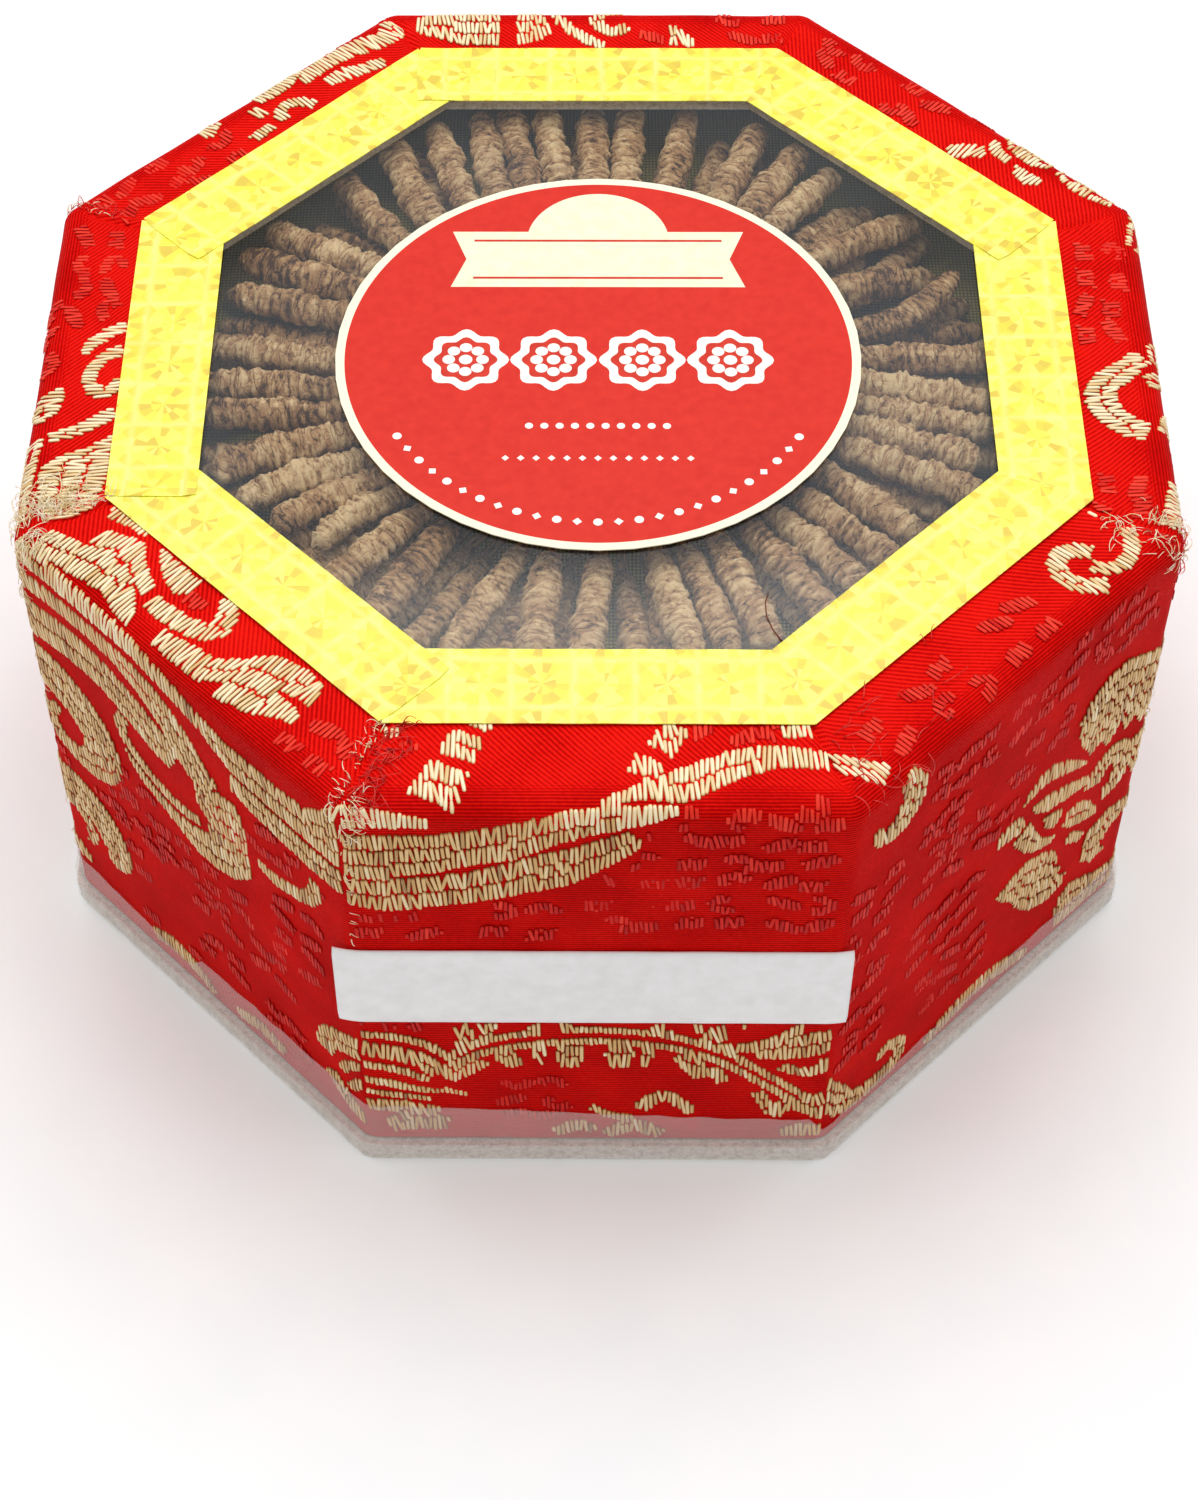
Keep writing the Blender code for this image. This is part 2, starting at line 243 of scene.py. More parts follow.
def clear_film():
    """Clear PET sheet, extruded: a thin glossy skin that mirrors softly, under a faint bluish veil of painted
    reflection.
    """
    made, tree, shader = finish_named("clear_pet_sheet", Base_Color="#C6D6E8", Roughness=0.5)
    place = add(tree, "ShaderNodeTexCoord").outputs["Object"]
    ripple = add(tree, "ShaderNodeTexNoise", {"Vector": place, "Scale": 22.0, "Detail": 1.0})
    bump = add(tree, "ShaderNodeBump", {"Height": ripple.outputs["Fac"], "Strength": 0.12,
                                        "Distance": 1.0 * MM})
    gloss = add(tree, "ShaderNodeBsdfGlossy", {"Color": (1, 1, 1, 1), "Roughness": 0.09,
                                               "Normal": bump.outputs[0]})
    clear = add(tree, "ShaderNodeBsdfTransparent", {"Color": (0.97, 0.98, 0.99, 1)})
    mirror = add(tree, "ShaderNodeFresnel", {"IOR": 1.5, "Normal": bump.outputs[0]})
    inside = add(tree, "ShaderNodeNewGeometry").outputs["Backfacing"]
    outside = add(tree, "ShaderNodeMath", {0: 1.0, 1: inside}, operation="SUBTRACT")
    mirror = add(tree, "ShaderNodeMath", {0: mirror.outputs[0], 1: outside.outputs[0]}, operation="MULTIPLY")
    skin = add(tree, "ShaderNodeMixShader", {0: mirror.outputs[0], 1: clear.outputs[0], 2: gloss.outputs[0]})
    # Painted reflection: a patchy, faint bluish diffuse veil stands in for the haze of light the film
    # reflects.
    haze = add(tree, "ShaderNodeTexNoise", {"Vector": place, "Scale": 14.0, "Detail": 3.0})
    veil = add(tree, "ShaderNodeMapRange", {"Value": haze.outputs["Fac"], "From Min": 0.35, "From Max": 0.75,
               "To Min": 0.005, "To Max": 0.06})
    whole = add(tree, "ShaderNodeMixShader", {0: veil.outputs[0], 1: skin.outputs[0], 2: shader.outputs[0]})
    tree.links.new(whole.outputs[0], tree.nodes["Material Output"].inputs[0])
    return made


def clear_tape():
    """Clear polypropylene packing tape: glossy, a little milky where it lies over the cloth."""
    made, tree, shader = finish_named("clear_packing_tape", Base_Color="#F4E8E4", Roughness=0.14, Alpha=0.17,
                                      Specular_IOR_Level=0.7)
    place = add(tree, "ShaderNodeTexCoord").outputs["Object"]
    wrinkle = add(tree, "ShaderNodeTexNoise", {"Vector": place, "Scale": 120.0, "Detail": 2.0})
    bump = add(tree, "ShaderNodeBump", {"Height": wrinkle.outputs["Fac"], "Strength": 0.6,
                                        "Distance": 0.4 * MM})
    put(tree, shader, Normal=bump.outputs[0])
    return made


def gold_foil_tape():
    """Pearl-yellow foil tape, embossed with small prismatic fans whose facets each show a painted reflection.
    """
    made, tree, shader = finish_named("gold_foil_tape", Roughness=0.38, Metallic=0.0, Coat_Weight=0.3,
                                      Coat_Roughness=0.2)
    uv = add(tree, "ShaderNodeUVMap", uv_map="tape").outputs[0]
    # Prismatic fans: each cell of 7.6 mm holds sixteen wedges in rings of 1.7 mm. As painted reflections,
    # each wedge gets its own pale yellow, and a few a darker gold.
    cells = add(tree, "ShaderNodeVectorMath", {0: uv, 1: (1 / 7.6, 1 / 7.6, 1)},
                operation="MULTIPLY").outputs[0]
    cell = add(tree, "ShaderNodeVectorMath", {0: cells}, operation="FLOOR").outputs[0]
    within = add(tree, "ShaderNodeVectorMath", {0: cells}, operation="FRACTION").outputs[0]
    within = add(tree, "ShaderNodeVectorMath", {0: within, 1: (0.5, 0.5, 0)}, operation="SUBTRACT").outputs[0]
    split = add(tree, "ShaderNodeSeparateXYZ", {0: within})
    turn = add(tree, "ShaderNodeMath", {0: split.outputs[1], 1: split.outputs[0]},
               operation="ARCTAN2").outputs[0]
    wedge = add(tree, "ShaderNodeMath", {0: turn, 1: 8 / pi}, operation="MULTIPLY").outputs[0]
    wedge = add(tree, "ShaderNodeMath", {0: wedge}, operation="FLOOR").outputs[0]
    away = add(tree, "ShaderNodeVectorMath", {0: within}, operation="LENGTH").outputs["Value"]
    ring = add(tree, "ShaderNodeMath", {0: away, 1: 4.4}, operation="MULTIPLY").outputs[0]
    ring = add(tree, "ShaderNodeMath", {0: ring}, operation="FLOOR").outputs[0]
    facet = add(tree, "ShaderNodeCombineXYZ", {0: wedge, 1: ring, 2: 0.0}).outputs[0]
    facet = add(tree, "ShaderNodeVectorMath", {0: facet, 1: (0.37, 0.53, 0.71), 2: cell},
                operation="MULTIPLY_ADD").outputs[0]
    glint = add(tree, "ShaderNodeTexWhiteNoise", {"Vector": facet}).outputs["Value"]
    patch = add(tree, "ShaderNodeTexNoise", {"Vector": uv, "Scale": 0.11, "Detail": 2.0}).outputs["Fac"]
    glint = add(tree, "ShaderNodeMath", {0: patch, 1: 0.35, 2: glint}, operation="MULTIPLY_ADD").outputs[0]
    base = add(tree, "ShaderNodeValToRGB", {"Fac": glint},
               stops=[(0.1, "#FFFF7C"), (0.6, "#FFFB58"), (0.9, "#F6EE48"), (1.0, "#EEE040")])
    inside = add(tree, "ShaderNodeMapRange", {"Value": away, "From Min": 0.40, "From Max": 0.46,
                 "To Min": 0.6, "To Max": 0.0}).outputs[0]
    spark = add(tree, "ShaderNodeMapRange", {"Value": glint, "From Min": 0.92, "From Max": 1.12}).outputs[0]
    spark = add(tree, "ShaderNodeMath", {0: spark, 1: inside}, operation="MULTIPLY").outputs[0]
    golden = add(tree, "ShaderNodeMix", {6: base.outputs[0], 7: linear("#DFB848"), "Factor": spark},
                 data_type="RGBA").outputs[2]
    # Faint pale lines where the cells meet.
    sides = add(tree, "ShaderNodeVectorMath", {0: within}, operation="ABSOLUTE").outputs[0]
    sides = add(tree, "ShaderNodeSeparateXYZ", {0: sides})
    border = add(tree, "ShaderNodeMath", {0: sides.outputs[0], 1: sides.outputs[1]},
                 operation="MAXIMUM").outputs[0]
    border = add(tree, "ShaderNodeMapRange", {"Value": border, "From Min": 0.40, "From Max": 0.5,
                 "To Min": 0.0, "To Max": 0.25}).outputs[0]
    colour = add(tree, "ShaderNodeMix", {6: golden, 7: linear("#FFFFC0"), "Factor": border},
                 data_type="RGBA").outputs[2]
    bump = add(tree, "ShaderNodeBump", {"Height": glint, "Strength": 0.15, "Distance": 0.1 * MM})
    put(tree, shader, Base_Color=colour, Normal=bump.outputs[0])
    return made


def gold_silk():
    """Yellow-green silk jacquard over wadding: fine weave with a soft sheen."""
    made, tree, shader = finish_named("gold_silk_jacquard", Roughness=0.5, Sheen_Weight=0.3)
    place = add(tree, "ShaderNodeTexCoord").outputs["Object"]
    # Threads every 0.5 and 0.6 mm, coarser than real silk so that they show.
    warp = add(tree, "ShaderNodeTexWave", {"Vector": place, "Scale": 620.0, "Distortion": 0.6},
               bands_direction="X")
    weft = add(tree, "ShaderNodeTexWave", {"Vector": place, "Scale": 520.0, "Distortion": 0.6},
               bands_direction="Y")
    weave = add(tree, "ShaderNodeMath", {0: warp.outputs["Fac"], 1: weft.outputs["Fac"]},
                operation="MULTIPLY")
    colour = add(tree, "ShaderNodeValToRGB", {"Fac": weave.outputs[0]},
                 stops=[(0.0, "#6E6420"), (0.5, "#B8A23A"), (1.0, "#E0C858")])
    bump = add(tree, "ShaderNodeBump", {"Height": weave.outputs[0], "Strength": 0.5, "Distance": 0.1 * MM})
    put(tree, shader, Base_Color=colour.outputs[0], Normal=bump.outputs[0])
    return made


def label_paper():
    """Coated paper, printed red inside a cream ring."""
    made, tree, shader = finish_named("coated_label_paper", Roughness=0.5, Specular_IOR_Level=0.25,
                                      Coat_Weight=0.05, Coat_Roughness=0.3)
    place = add(tree, "ShaderNodeTexCoord").outputs["Object"]
    centred = add(tree, "ShaderNodeVectorMath", {0: place, 1: (0, BACK * MM, 0)}, operation="SUBTRACT")
    flat = add(tree, "ShaderNodeVectorMath", {0: centred.outputs[0], 1: (1, 1, 0)}, operation="MULTIPLY")
    reach = add(tree, "ShaderNodeVectorMath", {0: flat.outputs[0]}, operation="LENGTH")
    ring = add(tree, "ShaderNodeMath", {0: reach.outputs["Value"], 1: RED_REACH * MM},
               operation="GREATER_THAN")
    ink = add(tree, "ShaderNodeTexNoise", {"Vector": place, "Scale": 700.0, "Detail": 3.0})
    red = add(tree, "ShaderNodeValToRGB", {"Fac": ink.outputs["Fac"]},
              stops=[(0.3, "#D4200F"), (0.7, "#DE2A18")])
    colour = add(tree, "ShaderNodeMix", {6: red.outputs[0], 7: linear("#FBF6DC"), "Factor": ring.outputs[0]},
                 data_type="RGBA")
    put(tree, shader, Base_Color=colour.outputs[2])
    return made


def printed(name, low, high):
    """Printing ink on coated paper, a touch uneven."""
    made, tree, shader = finish_named(name, Roughness=0.5, Specular_IOR_Level=0.25)
    place = add(tree, "ShaderNodeTexCoord").outputs["Object"]
    ink = add(tree, "ShaderNodeTexNoise", {"Vector": place, "Scale": 500.0, "Detail": 3.0})
    colour = add(tree, "ShaderNodeValToRGB", {"Fac": ink.outputs["Fac"]}, stops=[(0.3, low), (0.7, high)])
    put(tree, shader, Base_Color=colour.outputs[0])
    return made


def plain_paper():
    """Uncoated paper: matt, with a faint fibre cloud."""
    made, tree, shader = finish_named("plain_label_paper", Roughness=0.7)
    place = add(tree, "ShaderNodeTexCoord").outputs["Object"]
    fibre = add(tree, "ShaderNodeTexNoise", {"Vector": place, "Scale": 420.0, "Detail": 6.0})
    colour = add(tree, "ShaderNodeValToRGB", {"Fac": fibre.outputs["Fac"]},
                 stops=[(0.3, "#F2F0F1"), (0.7, "#FBFAFB")])
    bump = add(tree, "ShaderNodeBump", {"Height": fibre.outputs["Fac"], "Strength": 0.15,
                                        "Distance": 0.1 * MM})
    put(tree, shader, Base_Color=colour.outputs[0], Normal=bump.outputs[0])
    return made


def dried_husk(name, dark, mid, pale):
    """Dried cordyceps body: leathery tan, with a painted highlight on its ridges and painted shade in its
    thin wrinkles.
    """
    made, tree, shader = finish_named(name, Roughness=0.72, Specular_IOR_Level=0.3)
    # Millimetres along the body and round it.
    spot = add(tree, "ShaderNodeAttribute", attribute_name="spot").outputs["Vector"]
    crest = add(tree, "ShaderNodeAttribute", attribute_name="crest").outputs["Fac"]
    tone = add(tree, "ShaderNodeAttribute", attribute_name="tone").outputs["Fac"]
    mottle = add(tree, "ShaderNodeTexNoise", {"Vector": spot, "Scale": 0.5, "Detail": 6.0, "Roughness": 0.7})
    grit = add(tree, "ShaderNodeTexNoise", {"Vector": spot, "Scale": 3.2, "Detail": 4.0, "Roughness": 0.7})
    shade = add(tree, "ShaderNodeMath", {0: mottle.outputs["Fac"], 1: 0.55, 2: tone},
                operation="MULTIPLY_ADD").outputs[0]
    # Painted highlight and shade: ridges and legs lighter, the grooves between them darker, as the crest
    # gives.
    shade = add(tree, "ShaderNodeMath", {0: crest, 1: 0.55, 2: shade}, operation="MULTIPLY_ADD").outputs[0]
    shade = add(tree, "ShaderNodeMath", {0: grit.outputs["Fac"], 1: 0.28, 2: shade},
                operation="MULTIPLY_ADD").outputs[0]
    # Wrinkles run where a noise passes its middle: long ones round the body, short ones every way.
    # Each wrinkle is painted darker along its line, as painted shade in the crease.
    relief = grit.outputs["Fac"]
    for stretch, scale, depth in (((1.0, 0.3, 0.3), 0.95, 0.3), ((1.0, 0.7, 0.7), 1.3, 0.18)):
        drawn = add(tree, "ShaderNodeVectorMath", {0: spot, 1: stretch}, operation="MULTIPLY").outputs[0]
        noise = add(tree, "ShaderNodeTexNoise", {"Vector": drawn, "Scale": scale, "Detail": 1.5,
                                                 "Distortion": 0.3})
        away = add(tree, "ShaderNodeMath", {0: noise.outputs["Fac"], 1: 0.5}, operation="SUBTRACT").outputs[0]
        away = add(tree, "ShaderNodeMath", {0: away}, operation="ABSOLUTE").outputs[0]
        ridge = add(tree, "ShaderNodeMapRange", {"Value": away, "From Min": 0.0, "From Max": 0.05}).outputs[0]
        shade = add(tree, "ShaderNodeMath", {0: ridge, 1: depth, 2: shade},
                    operation="MULTIPLY_ADD").outputs[0]
        relief = add(tree, "ShaderNodeMath", {0: ridge, 1: 2 * depth, 2: relief},
                     operation="MULTIPLY_ADD").outputs[0]
    shade = add(tree, "ShaderNodeMath", {0: shade, 1: 0.34}, operation="SUBTRACT").outputs[0]
    colour = add(tree, "ShaderNodeValToRGB", {"Fac": shade},
                 stops=[(0.05, dark), (0.4, mid), (0.8, pale)])
    bump = add(tree, "ShaderNodeBump", {"Height": relief, "Strength": 0.8, "Distance": 0.25 * MM})
    put(tree, shader, Base_Color=colour.outputs[0], Normal=bump.outputs[0])
    return made


def studio_floor():
    """Matt white card."""
    made, tree, shader = finish_named("white_card", Roughness=0.8)
    place = add(tree, "ShaderNodeTexCoord").outputs["Object"]
    grain = add(tree, "ShaderNodeTexNoise", {"Vector": place, "Scale": 60.0, "Detail": 3.0})
    colour = add(tree, "ShaderNodeValToRGB", {"Fac": grain.outputs["Fac"]},
                 stops=[(0.3, "#F9FBFD"), (0.7, "#FDFEFF")])
    put(tree, shader, Base_Color=colour.outputs[0])
    return made


# ---------------------------------------------------------------- laying things on the box


def face_half(apothem):
    """Half a face's width at this apothem, to the middle of its rounded corners: (flat part, radius, all)."""
    radius = np.maximum(0.4, UPRIGHT - (WALL - apothem))
    flat = (apothem - radius) * tan(pi / 8)
    return flat, radius, flat + radius * pi / 8


def apothem_at(up):
    """Apothem of the cloth, `up` mm along it from the floor."""
    turn = np.clip((up - EDGE) / ROUNDING, 0, pi / 2)
    return WALL - ROUNDING + ROUNDING * np.cos(turn) - np.maximum(0, up - RIM_START), turn


def lay(face, along, up, off):
    """Flat cloth places to millimetres in space: along the face, up it and over the rim, off it."""
    angle = radians(FACES[face])
    apothem, turn = apothem_at(up)
    flat, radius, _ = face_half(apothem)
    side = np.sign(along)
    bend = np.clip((np.abs(along) - flat) / radius, 0, pi / 8)
    lean = np.cos(turn) * off
    across = side * (np.minimum(np.abs(along), flat) + (radius + lean) * np.sin(bend))
    outward = apothem - radius + (radius + lean) * np.cos(bend)
    z = np.minimum(up, EDGE) + ROUNDING * np.sin(turn) + np.sin(turn) * off
    x = outward * cos(angle) - across * sin(angle)
    y = outward * sin(angle) + across * cos(angle)
    return np.stack([x, y, z], axis=-1)


def wave(points, seed, size, count=9):
    """Smooth noise about -1 to 1, from a few waves of random direction. size is in the points' units."""
    random = np.random.default_rng(seed)
    total = 0
    for _ in range(count):
        way = random.normal(size=points.shape[-1])
        way *= random.uniform(0.6, 1.8) * 2 * pi / size / np.linalg.norm(way)
        total = total + np.sin(points @ way + random.uniform(0, 2 * pi))
    return total / count**0.5


def grid_faces(rows, columns, closed=False):
    """Quads over rows of points. A closed grid joins each row's end to its start."""
    across = np.arange(columns if closed else columns - 1)
    row = np.arange(rows - 1)[:, None] * columns
    after = (across + 1) % columns
    quads = np.stack([row + across, row + after, row + columns + after, row + columns + across], -1)
    return quads.reshape(-1, 4).tolist()


def capped_faces(rows, sides):
    """Faces of a closed tube with a flat face on each end."""
    faces = grid_faces(rows, sides, closed=True)
    faces.append(list(range(sides))[::-1])
    faces.append(list(range((rows - 1) * sides, rows * sides)))
    return faces


def unit(ways):
    """Directions at length 1."""
    return ways / np.linalg.norm(ways, axis=-1, keepdims=True)


def run_along(path):
    """Distance from a path's start to each of its points."""
    return np.concatenate([[0], np.cumsum(np.linalg.norm(np.diff(path, axis=0), axis=1))])


def tube(line, ahead, aside, thick, around, wide=1.0, high=1.0):
    """Points of a tube round a line, ring by ring. thick is its radius by ring and by turn."""
    over = np.cross(ahead, aside)
    way = wide * np.cos(around)[:, None] * aside[:, None] + high * np.sin(around)[:, None] * over[:, None]
    return (line[:, None] + thick[..., None] * way).reshape(-1, 3)


def closed_sheet(columns, rows):
    """Faces of a thin closed plate whose points are one grid, then the same grid below it."""
    count = columns * rows
    faces = grid_faces(columns, rows)
    faces += [[count + i for i in reversed(quad)] for quad in grid_faces(columns, rows)]
    border = [i * rows for i in range(columns)] + [(columns - 1) * rows + j for j in range(1, rows)]
    border += [i * rows + rows - 1 for i in range(columns - 2, -1, -1)] + list(range(rows - 2, 0, -1))
    for a, b in zip(border, border[1:] + border[:1]):
        faces.append([a, b, count + b, count + a])
    return faces


def give(mesh, name, values):
    """Puts a number or a vector on each point of a mesh."""
    values = np.asarray(values, np.float32)
    kind, field = ("FLOAT_VECTOR", "vector") if values.ndim == 2 else ("FLOAT", "value")
    mesh.attributes.new(name, kind, "POINT").data.foreach_set(field, values.ravel())


def clean(mesh, merge=0.002, outward=True):
    """Joins points nearer than `merge` mm, and turns a closed piece's faces outwards."""
    shape = bmesh.new()
    shape.from_mesh(mesh)
    if merge:
        bmesh.ops.remove_doubles(shape, verts=shape.verts, dist=merge * MM)
    if outward:
        bmesh.ops.recalc_face_normals(shape, faces=shape.faces)
    shape.to_mesh(mesh)
    shape.free()


def piece(name, points, faces, finish, smooth=True, uv=None, attributes=None, tidy=False):
    """A mesh object from points in millimetres. uv is (map name, a place for each point)."""
    mesh = bpy.data.meshes.new(name)
    mesh.from_pydata((np.asarray(points, float) * MM).tolist(), [], faces)
    for key, values in (attributes or {}).items():
        give(mesh, key, values)
    if uv:
        corner = np.empty(len(mesh.loops), np.int32)
        mesh.loops.foreach_get("vertex_index", corner)
        layer = mesh.uv_layers.new(name=uv[0])
        layer.data.foreach_set("uv", np.asarray(uv[1], np.float32)[corner].ravel())
    if tidy:
        clean(mesh)
    if smooth:
        mesh.shade_smooth()
    mesh.materials.append(finish)
    made = bpy.data.objects.new(name, mesh)
    bpy.context.scene.collection.objects.link(made)
    return made


def fix(made, slot, *nodes):
    """Hangs a finished piece on the root body and hides the frame nodes it stands for. Its slot is not used.
    """
    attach(made, "root")
    if nodes:
        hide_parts(*nodes)
    return made


def coat(node, finish):
    """Gives a frame node that stays its finish."""
    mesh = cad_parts[node].data
    mesh.materials.clear()
    mesh.materials.append(finish)


def slab(outline, low, high):
    """A closed plate from an outline, as points and faces."""
    points = [(x, y, z) for z in (low, high) for x, y in outline]
    return points, capped_faces(2, len(outline))


# ---------------------------------------------------------------- box and cloth


def octagon(apothem, radius, steps=4):
    """Corner-rounded octagon, anticlockwise, as (x, y)."""
    reach = (apothem - radius) / cos(pi / 8)
    spots = []
    for corner in range(8):
        middle = radians(22.5 + 45 * corner)
        for step in range(steps + 1):
            turn = middle + radians(45 * step / steps - 22.5)
            spots.append((reach * cos(middle) + radius * cos(turn), reach * sin(middle) + radius * sin(turn)))
    return np.array(spots)


def stands_off(face, along, up, whole, on_rim, pucker):
    """How far the glued cloth stands off the board, in millimetres."""
    near_corner = np.abs(along) / whole
    mitre = (1 - near_corner) * whole  # distance to the mitre
    # Slight puckers, and a crease down each mitre where the folded layers meet.
    ripple = pucker * wave(np.stack([along, up], -1), 40 + FACES[face], 26.0)
    lip = np.exp(-((mitre - 1.1) / 0.7) ** 2)
    crease = np.exp(-(mitre / 0.45) ** 2)
    off = ripple * (1 - near_corner**6) - on_rim * 0.35 * crease + on_rim * 0.22 * lip
    bare = on_rim * np.clip((FOIL_HOLDS - up) / 2, 0, 1)
    if face == "front_left":  # here the folded layer stands up along its mitre
        off += bare * 0.5 * lip * (along > 0)
    elif face == "front":  # and here a little slack is left beside it
        slack = np.exp(-((mitre - 2.6) / 1.6) ** 2) * (along < 0)
        off += bare * slack * (0.35 + 0.3 * wave(np.stack([along, up], -1), 91, 2.2))
    return off * np.clip((up - FOOT) / 3, 0, 1)


def make_cover(settings):
    """One strip of brocade, wrapped round the walls and folded in over the rim in eight mitres."""
    ups = np.concatenate([
        np.linspace(FOOT, EDGE, 72, endpoint=False),
        np.linspace(EDGE, RIM_START, 8, endpoint=False),
        np.linspace(RIM_START, UNROLLED - HEM, 18),
    ])
    apothem, _ = apothem_at(ups)
    flat, _, whole = face_half(apothem)
    flat, whole = flat[:, None], whole[:, None]
    inner = np.linspace(-1, 1, 57)
    corner = np.linspace(0, 1, 6)[1:]
    along = np.concatenate([
        -flat - corner[::-1] * (whole - flat),
        inner * flat,
        flat + corner * (whole - flat),
    ], axis=1)
    up = np.repeat(ups[:, None], along.shape[1], axis=1)
    on_rim = np.clip((up - RIM_START) / 1.5, 0, 1)
    grid = grid_faces(*along.shape)
    points, flats, rims, faces = [], [], [], []
    for number, face in enumerate(FACES):
        off = stands_off(face, along, up, whole, on_rim, settings.pucker / MM)
        laid = lay(face, along, up, off)
        laid[..., 1] += BACK * np.clip((SHIFT_FROM - (UNROLLED - up)) / (SHIFT_FROM - HEM), 0, 1)
        points.append(laid.reshape(-1, 3))
        flats.append(np.stack([along, up], -1).reshape(-1, 2))
        rims.append(on_rim.ravel())
        faces += [[number * along.size + i for i in quad] for quad in grid]
    cover = piece("brocade_cloth", np.concatenate(points), faces, red_satin_ground(),
                  uv=("cloth", np.concatenate(flats)), attributes={"rim": np.concatenate(rims)})
    clean(cover.data, 0.01, outward=False)
    return cover


# ---------------------------------------------------------------- woven figures


BAND_SWELL = 1.3  # thread bulges a band past its drawn edge
EDGE_SWELL = 0.4  # and a filled shape by this many mm
GOLD_LOFT, RED_LOFT = 0.17, 0.075  # how high the floats stand
RED_LONGEST = 2.3


def strip_outline(stops):
    """Outline of a band from (along, up, half width) stops down its middle."""
    path = np.array([stop[:2] for stop in stops], float)
    half = np.array([stop[2] for stop in stops], float) * BAND_SWELL
    length = run_along(path)
    steps = np.linspace(0, length[-1], max(6, int(length[-1] / 0.9)))
    # A cubic through the stops, by their own slopes, keeps curls round.
    slope = np.gradient(path, length, axis=0)
    index = np.clip(np.searchsorted(length, steps, side="right") - 1, 0, len(length) - 2)
    span = length[index + 1] - length[index]
    t = ((steps - length[index]) / span)[:, None]
    span = span[:, None]
    line = (
        (1 + 2 * t) * (1 - t) ** 2 * path[index]
        + t * (1 - t) ** 2 * span * slope[index]
        + t**2 * (3 - 2 * t) * path[index + 1]
        + t**2 * (t - 1) * span * slope[index + 1]
    )
    wide = np.interp(steps, length, half)
    ahead = unit(np.gradient(line, axis=0))
    aside = np.stack([-ahead[:, 1], ahead[:, 0]], axis=1) * wide[:, None]
    quads = []
    for i in range(len(line) - 1):
        quads.append(np.array([line[i] + aside[i], line[i + 1] + aside[i + 1],
                               line[i + 1] - aside[i + 1], line[i] - aside[i]]))
    return quads


def outlines(kind, stops):
    """A figure as closed outlines whose union it is."""
    if kind == "band":
        return strip_outline(stops)
    if kind == "between":
        upper = [(along, top + EDGE_SWELL) for along, top, _ in stops]
        return [np.array(upper + [(along, low - EDGE_SWELL) for along, _, low in reversed(stops)])]
    return [np.array(stops, float)]


def crossings(outline, along):
    """Where the upright line at `along` is inside an outline, as (low, high) spans."""
    start, end = outline, np.roll(outline, -1, axis=0)
    hit = (start[:, 0] <= along) != (end[:, 0] <= along)
    start, end = start[hit], end[hit]
    share = (along - start[:, 0]) / (end[:, 0] - start[:, 0])
    ups = np.sort(start[:, 1] + share * (end[:, 1] - start[:, 1]))
    return [(ups[i], ups[i + 1]) for i in range(0, len(ups) - 1, 2)]


def merged(spans):
    """Spans with those that touch made one."""
    joined = []
    for low, high in sorted(spans):
        if joined and low <= joined[-1][1] + 0.05:
            joined[-1][1] = max(joined[-1][1], high)
        else:
            joined.append([low, high])
    return joined


def woven_rows(figures, face, longest, pitch, seed, tone):
    """Floats that fill figures: rows of (along, up, half width, half length, tone)."""
    random = np.random.default_rng(seed)
    rows = []
    first = -HALF_FACE + random.uniform(0, pitch)
    shapes = [outlines(kind, stops) for kind, stops in figures]
    for column in np.arange(first, HALF_FACE, pitch):
        spans = []
        for shape in shapes:
            for part in shape:
                if part[:, 0].min() <= column <= part[:, 0].max():
                    spans += crossings(part, column)
        for low, high in merged(spans):
            low += random.normal(0, 0.09)
            high += random.normal(0, 0.09)
            length = high - low
            if length < 0.55:
                continue
            count = max(1, round(length / longest))
            cuts = low + length * np.arange(count + 1) / count
            cuts[1:-1] += random.normal(0, 0.14, count - 1)
            for start, end in zip(cuts[:-1], cuts[1:]):
                up, half = (start + end) / 2, (end - start) / 2 - 0.05
                if under_strip(face, column, up, half) or half <= 0.2:
                    continue
                wide = pitch * random.uniform(0.42, 0.5)
                lit = 0.2 if up > EDGE else -0.05  # floats on the rim catch more light
                rows.append((column, up, wide, half, tone + lit + random.normal(0, 0.12)))
    return rows


def cloud(left, right, low, high, seed):
    """Tone-on-tone frets and small curls that fill a patch of the cloth."""
    random = np.random.default_rng(seed)
    figures = []
    for column in np.arange(left + 2.2, right, 5.2):
        for row in np.arange(low + 1.8, high, 4.2):
            x, y = column + random.uniform(-1, 1), row + random.uniform(-0.6, 0.6)
            kind = random.integers(3)
            if kind == 0:
                start, way = random.uniform(0, 2 * pi), random.choice([-1, 1])
                curl = []
                for step in range(6):
                    turn, reach = start + way * step * 0.8, 2.1 - 0.2 * step
                    curl.append((x + reach * cos(turn), y + 0.8 * reach * sin(turn), 0.8 - 0.04 * step))
                figures.append(("band", curl))
            elif kind == 1:
                lean = random.choice([-1, 1])
                figures.append(("band", [(x - 2, y - lean, 0.7), (x, y, 1.0), (x + 2.2, y + lean, 0.7)]))
            else:
                for shift in (-0.9, 0.9):
                    figures.append(("fill", [(x - 1.6 + shift, y - 1.5), (x + shift, y - 1.2),
                                             (x + 0.6 + shift, y + 1.4), (x - 1.2 + shift, y + 1.1)]))
    return figures


